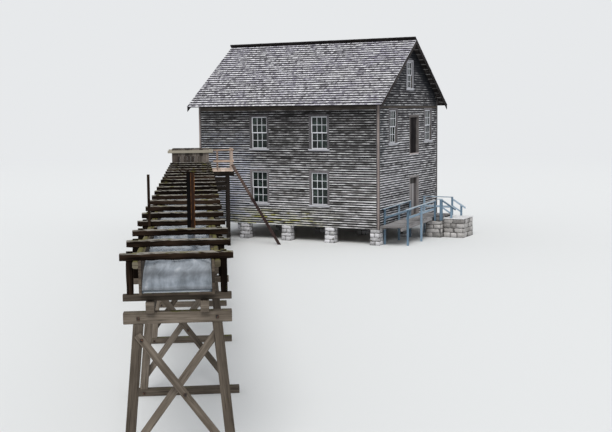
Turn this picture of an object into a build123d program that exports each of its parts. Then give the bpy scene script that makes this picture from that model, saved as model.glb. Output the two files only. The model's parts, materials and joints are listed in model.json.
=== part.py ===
from build123d import *
import math
import os

# All lengths in millimetres, +Z up. The origin is the near corner of the house on the level floor:
# the entry gable faces +X, the long wall that the flume comes to faces -Y.

# House
house_length = 10200.0        # along X
house_width = 7900.0          # along Y
wall_thick = 150.0
entry_rise = 950.0            # near corner's ground above the lowest foot
siding_bottom = entry_rise - 170.0
belt_top = 6700.0             # attic floor level, and the foot of the gable peaks
sill_high = 150.0
sill_wide = 200.0
joist_high = 120.0
joist_wide = 70.0
floor_thick = 50.0
upper_floor_top = 4300.0
attic_floor_top = 6650.0
pier_size = 500.0
pier_proud = 50.0
pier_batter = 2.2             # degrees, on every face

# Roof
roof_pitch = 36.0
eave_over = 585.0
verge_over = 400.0
eave_top = 6800.0
roof_thick = 80.0
rafter_deep = 120.0
rafter_wide = 70.0
rafter_count = 9
comb_length = 250.0           # the back slope's last course stands past the ridge
barge_thick = 30.0
barge_deep = 190.0

# Windows and doors
window_width = 900.0
window_height = 1600.0
front_window_left = 1500.0    # from the middle of the long wall
front_window_right = 1910.0
front_window_x = (-house_length / 2 - front_window_left, -house_length / 2 + front_window_right)
front_window_z = (1860.0, 4630.0)
gable_window_left = 2200.0    # from the ridge
gable_window_right = 2550.0
gable_window_y = (house_width / 2 - gable_window_left, house_width / 2 + gable_window_right)
gable_window_z = 4900.0
attic_window_width = 700.0
attic_window_height = 1330.0
attic_window_z = 7610.0
casing_wide = 105.0
casing_thick = 28.0
sill_proud = 78.0             # window sills, with tops that shed water
sill_deep = 60.0
sill_fall = 16.0
sill_horn = 25.0
sash_bar = 48.0
sash_thick = 34.0
pane_thick = 6.0
door_left = 10.0              # right of the ridge; both doors, one above the other
door_wide = 1140.0
door_y = (house_width / 2 + door_left, house_width / 2 + door_left + door_wide)
entry_height = 1960.0
threshold_top = 1110.0
upper_door_height = 1890.0
upper_door_z = (upper_floor_top, upper_floor_top + upper_door_height)
jamb_thick = 60.0
leaf_thick = 45.0
leaf_clear = 5.0
ledge_thick = 22.0
ledge_high = 120.0
ledge_in = 50.0
ledge_gap = 40.0              # from a strap to its ledge
leaf_recess = 85.0
hinge_in = 165.0              # hinge line behind the gable's face
hinge_y = door_y[0] + jamb_thick + 7.0
hinge_up = 250.0              # lower hinge above the threshold
hinge_down = 400.0            # upper hinge below the opening's head
hinge_z = (threshold_top + hinge_up, threshold_top + entry_height - hinge_down)
pin_radius = 8.0
pin_clear = 0.5
knuckle_radius = 14.0
knuckle_high = 60.0
strap_thick = 8.0
strap_long = 720.0

# Flume, in its own frame: across (to the right, going downstream), along (downstream), up
flume_turn = 33.7             # its run turned from +Y towards -X
flume_end = (-house_length + 1570.0, -3230.0)
yoke_count = 19
yoke_pitch = 1800.0
yoke_first = 200.0            # first yoke upstream of the penstock's face
yoke_top = 4050.0
yoke_high = 130.0
yoke_wide = 180.0
yoke_length = 1980.0
yoke_wear = 14.0              # chamfer on the yokes' ends
trough_clear = 1220.0
plank = 45.0
trough_high = 600.0
side_rail_wide = 105.0        # timber along each wall's top, between it and the posts
side_rail_high = 120.0
tie_high = 120.0
tie_length = 1900.0
post_size = 120.0
tenon_wide = 108.0
tenon_deep = 70.0
tenon_proud = 26.0
tenon_clear = 1.0
stringer_wide = 150.0
stringer_high = 200.0
stringer_in = 400.0
bent_every = 3                # yokes from bent to bent
cap_high = 200.0
cap_wide = 200.0
cap_length = 1900.0
ground_sill_high = 160.0
ground_sill_length = 2500.0
leg_size = 180.0
leg_top_out = 600.0
leg_foot_out = 850.0
brace_wide = 140.0
brace_thick = 45.0
trough_tail = 250.0           # trough past the last yoke

# Gate
gate_yoke = 15                # the yoke that it slides against
gate_clear = 5.0
gate_thick = 40.0
gate_high = 250.0
stem_wide = 180.0
stem_thick = 45.0
stem_off = 221.0
stem_over = 1070.0            # above the yoke's top
guide_size = 50.0
guide_wide = 60.0
pole_size = 60.0
pole_out = 690.0
peg_radius = 14.0             # the peg stops the gate on its yoke
peg_long = 190.0

# Penstock
penstock_half = 900.0
penstock_deep = 1600.0
penstock_top = 4700.0
penstock_wall = 60.0
penstock_sill = 120.0
penstock_sill_wide = 180.0
penstock_sill_in = 250.0
inlet_top = 4350.0
band_thick = 100.0
band_high = 130.0
band_reach = 200.0
tie_x = (-house_length + 350.0, -house_length + 1180.0)
tie_wide = 110.0

# Platform beside the penstock
deck_top = 3680.0
deck_thick = 50.0
deck_out = 2050.0
deck_front = -900.0
deck_back = 1500.0
log_radius = 110.0
log_small = 98.0               # at its outer end
log_over = 50.0
platform_post = 150.0
apron_boards = 3              # dark boards between the front legs
apron_board = 215.0
apron_gap = 5.0
apron_thick = 40.0
apron_drop = 50.0             # below the log
rail_post = 90.0
rail_top = 4690.0
rail_thick = 42.0
rail_deep = 95.0
mid_rail_z = 4130.0
prop_top = rail_top - 730.0
prop_run = 2200.0
prop_foot_out = deck_out + prop_run
prop_wide = 140.0
prop_thick = 40.0

# Ramp, landing and step at the entry
ramp_in = 145.0
ramp_out = 1255.0
ramp_start = -200.0
ramp_end = door_y[0] - 110.0
ramp_low = entry_rise
landing_top = threshold_top - 10.0
landing_in = 30.0
landing_out = 1700.0
landing_far = door_y[1] + 650.0
landing_step_y = door_y[0] + 490.0
entry_post = 90.0
first_post = 670.0            # the ramp's posts, from its foot
second_post = 2450.0
inner_posts_y = (ramp_start + first_post, ramp_start + second_post, ramp_end - 110.0)
outer_posts_y = (ramp_start + first_post, ramp_start + second_post, landing_step_y - 295.0)
newel_x = landing_out - 200.0
newel_size = 130.0            # the landing's corner newel
lower_newels_x = (landing_out + 360.0, landing_out + 410.0)
newel_over = 80.0             # newels above the ramp's posts
rail_over = 140.0             # rails past the first posts
hand_rail_deep = 90.0
stair_mid_down = 360.0        # the step's middle rails below its falling rails
entry_rail_up = 750.0
entry_mid_up = 400.0
cap_rail_wide = 130.0
cap_rail_thick = 40.0
base_in = 800.0               # the landing's stone base, from the wall
base_top = 850.0
stone_batter = 1.2
step_out = 2750.0
step_top = 1000.0
step_plank = 50.0
step_fall = 0.62              # fall of the step's rails

slope = math.tan(math.radians(roof_pitch))
roof_upright = roof_thick / math.cos(math.radians(roof_pitch))
rafter_upright = rafter_deep / math.cos(math.radians(roof_pitch))
ridge_y = house_width / 2
ridge_top = eave_top + slope * (ridge_y + eave_over)
wall_in = wall_thick
tie_top = yoke_top - yoke_high - trough_high
tie_low = tie_top - tie_high
stringer_low = tie_low - stringer_high
cap_low = stringer_low - cap_high
yoke_low = yoke_top - yoke_high
last_yoke = yoke_first + yoke_pitch * (yoke_count - 1)
gate_at = yoke_first + yoke_pitch * gate_yoke
sill_mid = penstock_half - penstock_sill_in
post_mid = trough_clear / 2 + plank + side_rail_wide + post_size / 2
trough_end = last_yoke + trough_tail
flume_frame = Pos(flume_end[0], flume_end[1], 0) * Rot(0, 0, flume_turn)


def block(x0, x1, y0, y1, z0, z1):
    """A box from its six faces."""
    return Pos((x0 + x1) / 2, (y0 + y1) / 2, (z0 + z1) / 2) * Box(x1 - x0, y1 - y0, z1 - z0)


def prism_x(points, x0, x1):
    """A polygon of (y, z) points, drawn along X."""
    face = Plane.YZ * make_face(Polyline(*[(y, z) for y, z in points], close=True))
    return Pos(x0, 0, 0) * extrude(face, x1 - x0)


def prism_y(points, y0, y1):
    """A polygon of (x, z) points, drawn along Y."""
    face = Plane.XZ * make_face(Polyline(*[(x, z) for x, z in points], close=True))
    return Pos(0, y1, 0) * extrude(face, y1 - y0)


def prism_z(points, z0, z1):
    """A polygon of (x, y) points, drawn along Z."""
    return Pos(0, 0, z0) * extrude(make_face(Polyline(*points, close=True)), z1 - z0)


def sloped(start, end, thick):
    """Outline of a plank from start to end, plumb cut, thick below its top line."""
    (a, za), (b, zb) = start, end
    return [(a, za - thick), (b, zb - thick), (b, zb), (a, za)]


def group(solids):
    return Compound(children=list(solids))


def in_flume(solids):
    """Like pieces drawn in the flume's frame, set in place."""
    return group([flume_frame * solid for solid in solids])


def roof_under(y):
    """Underside of the roof above a point of the house's width."""
    return eave_top - roof_upright + slope * (min(y, house_width - y) + eave_over)


def yoke_places():
    return [-(yoke_first + yoke_pitch * k) for k in range(yoke_count)]


def bent_places():
    return [-(yoke_first + yoke_pitch * k) for k in range(bent_every, yoke_count, bent_every)]


# Windows: (wall, middle along the wall, bottom, width, height)
def windows():
    found = []
    for wall in ("front", "back"):
        for x in front_window_x:
            for z in front_window_z:
                found.append((wall, x, z, window_width, window_height))
    for wall in ("near", "far"):
        for y in gable_window_y:
            found.append((wall, y, gable_window_z, window_width, window_height))
        found.append((wall, ridge_y, attic_window_z, attic_window_width, attic_window_height))
    return found


def on_wall(wall, a0, a1, d0, d1, z0, z1):
    """A box on a wall: a along it, d into it from its outer face (negative is proud of it)."""
    if wall == "front":
        return block(a0, a1, d0, d1, z0, z1)
    if wall == "back":
        return block(a0, a1, house_width - d1, house_width - d0, z0, z1)
    if wall == "near":
        return block(-d1, -d0, a0, a1, z0, z1)
    return block(-house_length + d0, -house_length + d1, a0, a1, z0, z1)


def along_wall(wall, points, a0, a1):
    """A profile of (depth into the wall, height) points, drawn along a wall."""
    if wall in ("front", "back"):
        return prism_x([(d if wall == "front" else house_width - d, z) for d, z in points], a0, a1)
    return prism_y([(-d if wall == "near" else d - house_length, z) for d, z in points], a0, a1)


def window_hole(wall, mid, z, width, height):
    return on_wall(wall, mid - width / 2, mid + width / 2, -10, wall_thick + 10, z, z + height)


def cut_windows(solid, wall):
    for window in windows():
        if window[0] == wall:
            solid = solid - window_hole(*window)
    return solid


def ring(wall, mid, width, z0, z1, bar, d0, d1):
    """A rectangular frame on a wall, its bar inside the outer size given."""
    half = width / 2
    outer = on_wall(wall, mid - half, mid + half, d0, d1, z0, z1)
    return outer - on_wall(wall, mid - half + bar, mid + half - bar, d0 - 5, d1 + 5, z0 + bar, z1 - bar)


def window_casing(wall, mid, z, width, height):
    outer = width + 2 * casing_wide
    frame = ring(wall, mid, outer, z - casing_wide, z + height + casing_wide, casing_wide, -casing_thick, 0)
    half = outer / 2 + sill_horn
    profile = [(0, z - sill_deep), (-sill_proud, z - sill_deep), (-sill_proud, z - sill_fall), (0, z)]
    return frame + along_wall(wall, profile, mid - half, mid + half)


def window_sashes(wall, mid, z, width, height):
    """The upper sash stands outside the lower one, and their meeting rails overlap."""
    middle = z + height / 2
    upper = ring(wall, mid, width, middle - sash_bar / 2, z + height, sash_bar, 30, 30 + sash_thick)
    lower = ring(wall, mid, width, z, middle + sash_bar / 2, sash_bar, 32 + sash_thick, 32 + 2 * sash_thick)
    return [upper, lower]


def window_panes(wall, mid, z, width, height):
    middle = z + height / 2
    half = width / 2 - sash_bar
    deep = 30 + (sash_thick - pane_thick) / 2
    upper = on_wall(wall, mid - half, mid + half, deep, deep + pane_thick,
                    middle + sash_bar / 2, z + height - sash_bar)
    deep += sash_thick + 2
    lower = on_wall(wall, mid - half, mid + half, deep, deep + pane_thick,
                    z + sash_bar, middle - sash_bar / 2)
    return [upper, lower]


# House
def stone_piers():
    front = -pier_proud + pier_size / 2
    xs = [-front - k * (house_length - 2 * front) / 4 for k in range(5)]
    solids = []
    for y in (front, ridge_y, house_width - front):
        for x in xs:
            pier = extrude(Rectangle(pier_size, pier_size), siding_bottom, taper=pier_batter)
            solids.append(Pos(x, y, 0) * pier)
    return group(solids)


def long_sills():
    low, high = siding_bottom, siding_bottom + sill_high
    rows = (wall_in, ridge_y - sill_wide / 2, house_width - wall_in - sill_wide)
    return group([block(-house_length + wall_in, -wall_in, y, y + sill_wide, low, high) for y in rows])


def floor_joists():
    tops = (siding_bottom + sill_high + joist_high, upper_floor_top - floor_thick,
            attic_floor_top - floor_thick)
    count = 11
    step = (house_length - 2 * wall_in - joist_wide - 200) / (count - 1)
    first = -house_length + wall_in + 100
    solids = []
    for top in tops:
        for k in range(count):
            x = first + k * step
            solids.append(block(x, x + joist_wide, wall_in, house_width - wall_in, top - joist_high, top))
    return group(solids)


def floors():
    ground_top = siding_bottom + sill_high + joist_high + floor_thick
    return group([block(-house_length + wall_in, -wall_in, wall_in, house_width - wall_in,
                        top - floor_thick, top) for top in (ground_top, upper_floor_top, attic_floor_top)])


def long_wall(wall):
    a, b = (0, wall_thick) if wall == "front" else (house_width, house_width - wall_thick)
    outline = [(a, siding_bottom), (b, siding_bottom), (b, roof_under(b)), (a, roof_under(a))]
    return cut_windows(prism_x(outline, -house_length, 0), wall)


def gable_walls():
    """Left and right of the doors."""
    spans = ((wall_in, door_y[0]), (door_y[1], house_width - wall_in))
    return group([cut_windows(block(-wall_thick, 0, y0, y1, siding_bottom, belt_top), "near")
                  for y0, y1 in spans])


def gable_walls_over_doors():
    entry_top = threshold_top + entry_height
    return group([block(-wall_thick, 0, door_y[0], door_y[1], entry_top, upper_door_z[0]),
                  block(-wall_thick, 0, door_y[0], door_y[1], upper_door_z[1], belt_top)])


def peak_outline(low):
    y0, y1 = wall_in, house_width - wall_in
    return [(y0, low), (y1, low), (y1, roof_under(y1)), (ridge_y, roof_under(ridge_y)), (y0, roof_under(y0))]


def corner_boards():
    wide, thick = 110.0, casing_thick
    solids = []
    for x, sx in ((0, 1), (-house_length, -1)):
        for y, sy in ((0, -1), (house_width, 1)):
            points = [(x, y), (x - sx * wide, y), (x - sx * wide, y + sy * thick),
                      (x + sx * thick, y + sy * thick), (x + sx * thick, y - sy * wide), (x, y - sy * wide)]
            solids.append(prism_z(points, siding_bottom, belt_top + 360))
    return group(solids)


def frieze_and_belt_boards():
    inset, thick = 110.0, 32.0
    low, high = belt_top - 160, belt_top + 20
    solids = [on_wall(wall, -house_length + inset, -inset, -thick, 0, low, high)
              for wall in ("front", "back")]
    solids += [on_wall(wall, inset, house_width - inset, -thick, 0, belt_top - 90, belt_top)
               for wall in ("near", "far")]
    return group(solids)


def roof_slab(front):
    """Both slopes are one length; the back one runs on past the ridge as the comb."""
    lap = roof_upright / (2 * slope)
    if front:
        outline = [(-eave_over, eave_top - roof_upright), (-eave_over, eave_top),
                   (ridge_y - lap, ridge_top - slope * lap), (ridge_y, ridge_top - roof_upright)]
    else:
        far = house_width + eave_over
        tip = ridge_y - comb_length * math.cos(math.radians(roof_pitch))
        rise = slope * (ridge_y - tip)
        cut = roof_thick * math.sin(math.radians(roof_pitch))
        outline = [(far, eave_top - roof_upright), (far, eave_top),
                   (tip + cut, ridge_top + rise - slope * cut),
                   (tip, ridge_top + rise - roof_upright)]
    return prism_x(outline, -house_length - verge_over, verge_over)


def rafters():
    step = (house_length - 2 * wall_in - rafter_wide - 300) / (rafter_count - 1)
    solids = []
    for k in range(rafter_count):
        x = -house_length + wall_in + 150 + k * step
        top0, top1 = roof_under(wall_in), roof_under(ridge_y - 1)
        front = [(wall_in, top0 - rafter_upright), (ridge_y - 1, top1 - rafter_upright), (ridge_y - 1, top1),
                 (wall_in, top0)]
        for outline in (front, [(house_width - y, z) for y, z in front]):
            solids.append(prism_x(outline, x, x + rafter_wide))
    return group(solids)


def barge_boards():
    """Under the verges, against the roof's underside."""
    solids = []
    for x in (verge_over - barge_thick - 20, -house_length - verge_over + 20):
        ends = (-eave_over + 20, ridge_y - 2)
        top = [roof_under(y) for y in ends]
        front = [(ends[0], top[0] - barge_deep), (ends[1], top[1] - barge_deep), (ends[1], top[1]),
                 (ends[0], top[0])]
        for outline in (front, [(house_width - y, z) for y, z in front]):
            solids.append(prism_x(outline, x, x + barge_thick))
    return group(solids)


def door_frame(z0, z1):
    """Two jambs and a head, with a casing on the wall's face."""
    y0, y1 = door_y
    jambs = block(-wall_thick, 0, y0, y1, z0, z1)
    jambs -= block(-wall_thick - 5, 5, y0 + jamb_thick, y1 - jamb_thick, z0 - 5, z1 - jamb_thick)
    casing = block(0, casing_thick, y0 - 75, y1 + 75, z0, z1 + 75)
    casing -= block(-5, casing_thick + 5, y0 + 20, y1 - 20, z0 - 5, z1 - 20)
    return jambs + casing


def door_leaf(z0, z1, clear):
    """Boards with three ledges across their room side."""
    y0, y1 = door_y[0] + jamb_thick + clear, door_y[1] - jamb_thick - clear
    back = -leaf_recess - leaf_thick
    leaf = block(back, -leaf_recess, y0, y1, z0 + clear, z1 - jamb_thick - clear)
    low, high = z0 + hinge_up - ledge_gap - ledge_high, z1 - hinge_down + knuckle_high + ledge_gap
    for z in (low, (low + high) / 2, high):
        leaf += block(back - ledge_thick, back, y0 + ledge_in, y1 - ledge_in, z, z + ledge_high)
    return leaf


def door_straps():
    """Strap hinges on the leaf's room side, their knuckles on the pins."""
    face = -leaf_recess - leaf_thick
    solids = []
    for z in hinge_z:
        middle, tip = z + knuckle_high / 2, hinge_y + strap_long
        plate = prism_x([(hinge_y + 8, z), (tip - 30, middle - 13), (tip, middle), (tip - 30, middle + 13),
                         (hinge_y + 8, z + knuckle_high)], face - strap_thick, face)
        leg = block(-hinge_in, face, hinge_y + 8, hinge_y + 20, z, z + knuckle_high)
        knuckle = Pos(-hinge_in, hinge_y, z + knuckle_high / 2) * Cylinder(knuckle_radius, knuckle_high)
        bore = Cylinder(pin_radius + pin_clear, 2 * knuckle_high)
        bore = Pos(-hinge_in, hinge_y, z + knuckle_high / 2) * bore
        solids.append(plate + leg + knuckle - bore)
    return group(solids)


def door_pintles():
    """Pins on brackets that stand on the jamb's inner end and carry the straps."""
    solids = []
    for z in hinge_z:
        foot = block(-wall_thick - 6, -wall_thick, door_y[0] + 5, hinge_y - 9, z - 40, z)
        arm = block(-hinge_in, -wall_thick, door_y[0] + 25, hinge_y, z - 18, z)
        boss = Pos(-hinge_in, hinge_y, z - 9) * Cylinder(knuckle_radius, 18)
        pin = Pos(-hinge_in, hinge_y, z + knuckle_high / 2) * Cylinder(pin_radius, knuckle_high)
        solids.append(foot + arm + boss + pin)
    return group(solids)


# Flume
def yoke_beams():
    half, wide = yoke_length / 2, yoke_wide / 2
    beam = block(-half, half, -wide, wide, yoke_low, yoke_top)
    ends = beam.faces().sort_by(Axis.X)
    beam = chamfer(ends[0].edges() + ends[-1].edges(), yoke_wear)
    over, deep = tenon_wide / 2 + tenon_clear, tenon_deep / 2 + tenon_clear
    for x in (-post_mid, post_mid):
        beam -= block(x - over, x + over, -deep, deep, yoke_low - 5, yoke_top + 5)
    return in_flume([Pos(0, y, 0) * beam for y in yoke_places()])


def yoke_posts():
    """Each post ends in a tenon that runs up through its beam and stands proud of it."""
    half, over, deep = post_size / 2, tenon_wide / 2, tenon_deep / 2
    post = block(-half, half, -half, half, tie_top, yoke_low)
    post += block(-over, over, -deep, deep, yoke_low, yoke_top + tenon_proud)
    return in_flume([Pos(x, y, 0) * post for y in yoke_places() for x in (-post_mid, post_mid)])


def cross_pieces(places, half, wide, low, high):
    return [block(-half, half, y - wide / 2, y + wide / 2, low, high) for y in places]


def trestle_legs():
    solids = []
    for y in bent_places():
        for side in (-1, 1):
            outline = [(side * leg_top_out, cap_low), (side * (leg_top_out + leg_size), cap_low),
                       (side * (leg_foot_out + leg_size), ground_sill_high),
                       (side * leg_foot_out, ground_sill_high)]
            solids.append(prism_y(outline, y - leg_size / 2, y + leg_size / 2))
    return in_flume(solids)


def trestle_braces():
    """One plank on each face of a bent's legs, crossing in the middle."""
    low = (leg_foot_out + leg_size * 0.3, ground_sill_high + 260)
    high = (leg_top_out + leg_size * 0.6, cap_low - 180)
    run, rise = high[0] + low[0], high[1] - low[1]
    size = math.hypot(run, rise)
    nx, nz = -rise / size * brace_wide / 2, run / size * brace_wide / 2
    solids = []
    for y in bent_places():
        for side in (-1, 1):
            a, b = (-side * low[0], low[1]), (side * high[0], high[1])
            outline = [(a[0] + side * nx, a[1] + nz), (a[0] - side * nx, a[1] - nz),
                       (b[0] - side * nx, b[1] - nz), (b[0] + side * nx, b[1] + nz)]
            near = y + side * leg_size / 2
            solids.append(prism_y(outline, min(near, near + side * brace_thick),
                                  max(near, near + side * brace_thick)))
    return in_flume(solids)


def side_rails():
    inner = trough_clear / 2 + plank
    return in_flume([block(*sorted((s * inner, s * (inner + side_rail_wide))), -trough_end, 0,
                           yoke_low - side_rail_high, yoke_low) for s in (-1, 1)])


def gate_place():
    """Downstream face of the gate's panel."""
    return -(gate_at + yoke_wide / 2 + guide_size + gate_clear)


def gate():
    face = gate_place()
    half = trough_clear / 2 - gate_clear
    floor = tie_top + plank
    panel = block(-half, half, face - gate_thick, face, floor + gate_clear, floor + gate_clear + gate_high)
    stem = block(stem_off - stem_wide / 2, stem_off + stem_wide / 2, face, face + stem_thick - gate_clear,
                 floor + gate_clear, yoke_top + stem_over)
    peg = Cylinder(peg_radius, peg_long, rotation=(90, 0, 0))
    peg = Pos(stem_off, face + stem_thick - gate_clear + peg_long / 2 - 90, yoke_top + peg_radius) * peg
    return flume_frame * (panel + stem + peg)


def gate_guides():
    """Two strips on each trough wall hold the panel, and a thin pole stands on the side rail."""
    face, half = gate_place() + gate_clear, trough_clear / 2
    solids = []
    for side in (-1, 1):
        for y in (face, face - gate_thick - 2 * gate_clear - guide_size):
            x0, x1 = sorted((side * half, side * (half - guide_wide)))
            solids.append(block(x0, x1, y, y + guide_size, tie_top + plank, yoke_low))
    edge = -(gate_at + yoke_wide / 2)
    solids.append(block(-pole_out - pole_size, -pole_out, edge - pole_size, edge, yoke_low,
                        yoke_top + stem_over - 20))
    return in_flume(solids)


# Penstock
def penstock_front():
    wall = block(-penstock_half, penstock_half, 0, penstock_wall, penstock_sill, penstock_top)
    half = trough_clear / 2
    return flume_frame * (wall - block(-half, half, -5, penstock_wall + 5, tie_top + plank, inlet_top))


def penstock_sides():
    inner = penstock_half - penstock_wall
    return in_flume([block(*sorted((side * inner, side * penstock_half)), penstock_wall,
                           penstock_deep - penstock_wall, penstock_sill, penstock_top) for side in (-1, 1)])


def band_tops():
    """Rings of timber; the flume's stringers bear on one and the platform on another."""
    return (560, 1320, 2140, stringer_low, deck_top - deck_thick, penstock_top - 60)


def penstock_bands(across):
    solids = []
    reach = penstock_half + band_reach
    for top in band_tops():
        if across:
            spans = [(-reach, reach, -band_thick, 0),
                     (-reach, reach, penstock_deep, penstock_deep + band_thick)]
            if tie_top < top < inlet_top:
                edge = trough_clear / 2 + plank + 10
                spans = [(-reach, -edge, -band_thick, 0), (edge, reach, -band_thick, 0), spans[1]]
        else:
            spans = [(-penstock_half - band_thick, -penstock_half, 0, penstock_deep),
                     (penstock_half, penstock_half + band_thick, 0, penstock_deep)]
        solids += [block(*span, top - band_high, top) for span in spans]
    return in_flume(solids)


def penstock_ties():
    """Timbers from the penstock's back bands to the mill's long wall."""
    sin, cos = math.sin(math.radians(flume_turn)), math.cos(math.radians(flume_turn))
    back = penstock_deep + band_thick
    solids = []
    for x in tie_x:
        ends = []
        for edge in (x - tie_wide / 2, x + tie_wide / 2):
            across = (edge - flume_end[0] + back * sin) / cos
            ends.append((edge, flume_end[1] + across * sin + back * cos))
        points = [ends[0], ends[1], (ends[1][0], 0), (ends[0][0], 0)]
        for top in (band_tops()[1], band_tops()[4]):
            solids.append(prism_z(points, top - band_high, top))
    return group(solids)


# Platform
def platform_logs():
    z = deck_top - deck_thick - log_radius
    solids = []
    for y in (deck_front + 120, deck_back - 120):
        start, reach = penstock_half + band_thick + 15, deck_out + log_over
        log = Cone(log_radius, log_small, reach - start, rotation=(0, 90, 0))
        log = Pos((start + reach) / 2, y, z) * log
        trim = block(start - 5, reach + 5, y - 200, y + 200, z + log_small - 4, z + log_radius + 50)
        solids.append(Pos(0, 0, log_radius - log_small + 4) * (log - trim))
    return in_flume(solids)


def platform_posts():
    """Legs under the logs and posts of the railing on the deck."""
    z = deck_top - deck_thick - log_small + 4
    half = platform_post / 2
    start, reach = penstock_half + band_thick + 15, deck_out + log_over
    solids = []
    for y in (deck_front + 120, deck_back - 120):
        log = Pos((start + reach) / 2, y, z) * Cone(log_radius, log_small, reach - start, rotation=(0, 90, 0))
        for x in (penstock_half + band_thick + 110, deck_out - 250):
            solids.append(block(x - half, x + half, y - half, y + half, 0, z - 30) - log)
    for x, y in rail_post_places():
        solids.append(block(x, x + rail_post, y, y + rail_post, deck_top, rail_top - rail_thick))
    return in_flume(solids)


def platform_apron():
    """Boards from leg to leg under the front log."""
    half, y = platform_post / 2, deck_front + 120
    x0, x1 = penstock_half + band_thick + 110 + half, deck_out - 250 - half
    top = deck_top - deck_thick - 2 * log_radius - apron_drop
    tops = [top - k * (apron_board + apron_gap) for k in range(apron_boards)]
    half = apron_thick / 2
    return in_flume([block(x0, x1, y - half, y + half, z - apron_board, z) for z in tops])


def rail_post_places():
    x = deck_out - rail_post
    middle = (deck_front + deck_back - rail_post) / 2
    return [(penstock_half + 350, deck_front), (x, deck_front), (x, middle), (x, deck_back - rail_post)]


def platform_rails():
    """Flat top rails on the posts, and middle rails on their outer faces."""
    far = deck_out + rail_thick
    top0, top1 = rail_top - rail_thick, rail_top
    mid0, mid1 = mid_rail_z - rail_deep / 2, mid_rail_z + rail_deep / 2
    front = deck_front - rail_thick
    return in_flume([
        block(penstock_half + 200, deck_out - rail_post - 30, front, deck_front + rail_post, top0, top1),
        block(deck_out - rail_post - 20, far, front, deck_back, top0, top1),
        block(penstock_half + 200, deck_out - 5, front, deck_front, mid0, mid1),
        block(deck_out, far, deck_front, deck_back, mid0, mid1)])


def platform_prop():
    """Two planks, one on each face of the corner post, down to the ground on the right."""
    top = (deck_out - rail_post / 2, prop_top)
    foot = (prop_foot_out, 0)
    run, rise = foot[0] - top[0], top[1] - foot[1]
    wide = prop_wide / 2 * math.hypot(run, rise) / rise
    up = prop_wide / 2 * run / math.hypot(run, rise)
    over = prop_wide / 2 * rise / math.hypot(run, rise)
    outline = [(foot[0] - wide, 0), (foot[0] + wide, 0), (top[0] + over, top[1] + up),
               (top[0] - over, top[1] - up)]
    face = deck_front
    return in_flume([prism_y(outline, face - prop_thick, face),
                     prism_y(outline, face + rail_post, face + rail_post + prop_thick)])


# Ramp and landing
def ramp_z(y):
    """Top of the ramp's deck, and of the landing past its end."""
    if y >= ramp_end:
        return landing_top
    return ramp_low + (landing_top - ramp_low) * (y - ramp_start) / (ramp_end - ramp_start)


def ramp_deck():
    top = [(y, ramp_z(y)) for y in (ramp_start, ramp_end)]
    return prism_x(sloped(top[0], top[1], plank), ramp_in, ramp_out)


def ramp_stringers():
    top = [(y, ramp_z(y) - plank) for y in (ramp_start + 30, ramp_end)]
    return [prism_x(sloped(top[0], top[1], 150), x, x + 50) for x in (ramp_in, ramp_out - 50)]


def landing_deck():
    points = [(landing_in, ramp_end), (ramp_out, ramp_end), (ramp_out, landing_step_y),
              (landing_out, landing_step_y), (landing_out, landing_far), (landing_in, landing_far)]
    return prism_z(points, landing_top - plank, landing_top)


def landing_joists():
    high = landing_top - plank
    reach = {ramp_end + 20: ramp_out, landing_step_y + 40: landing_out, landing_far - 100: landing_out}
    return [block(landing_in + 5, out, y, y + 80, base_top, high) for y, out in reach.items()]


def entry_posts():
    """Posts of the ramp's two railings, the landing's newels and the step's lower newels."""
    size = entry_post
    inner, outer = ramp_in - size, ramp_out
    solids = []
    places = [(inner, y) for y in inner_posts_y] + [(outer, y) for y in outer_posts_y]
    for x, y in places:
        foot = base_top if y > ramp_end else 0
        top = [(y, ramp_z(y) + entry_rail_up), (y + size, ramp_z(y + size) + entry_rail_up)]
        solids.append(prism_x([(y, foot), (y + size, foot), top[1], top[0]], x, x + size))
    high = landing_top + entry_rail_up + newel_over
    solids.append(block(newel_x, newel_x + newel_size, landing_step_y - newel_size, landing_step_y,
                        base_top, high))
    solids.append(block(inner, inner + size, landing_far, landing_far + size, 0, high))
    solids.append(block(landing_out - size, landing_out, landing_far, landing_far + size, 0, high))
    for x, y in zip(lower_newels_x, (landing_step_y - size, landing_far)):
        outline = [(x, step_top), (x + size, step_top), (x + size, step_rail_at(x + size)),
                   (x, step_rail_at(x))]
        solids.append(prism_y(outline, y, y + size))
    return group(solids)


def step_rail_at(x):
    """Underside of the step's falling rail."""
    high = landing_top + entry_rail_up - 60
    return high - (x - landing_out) * step_fall


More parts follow.
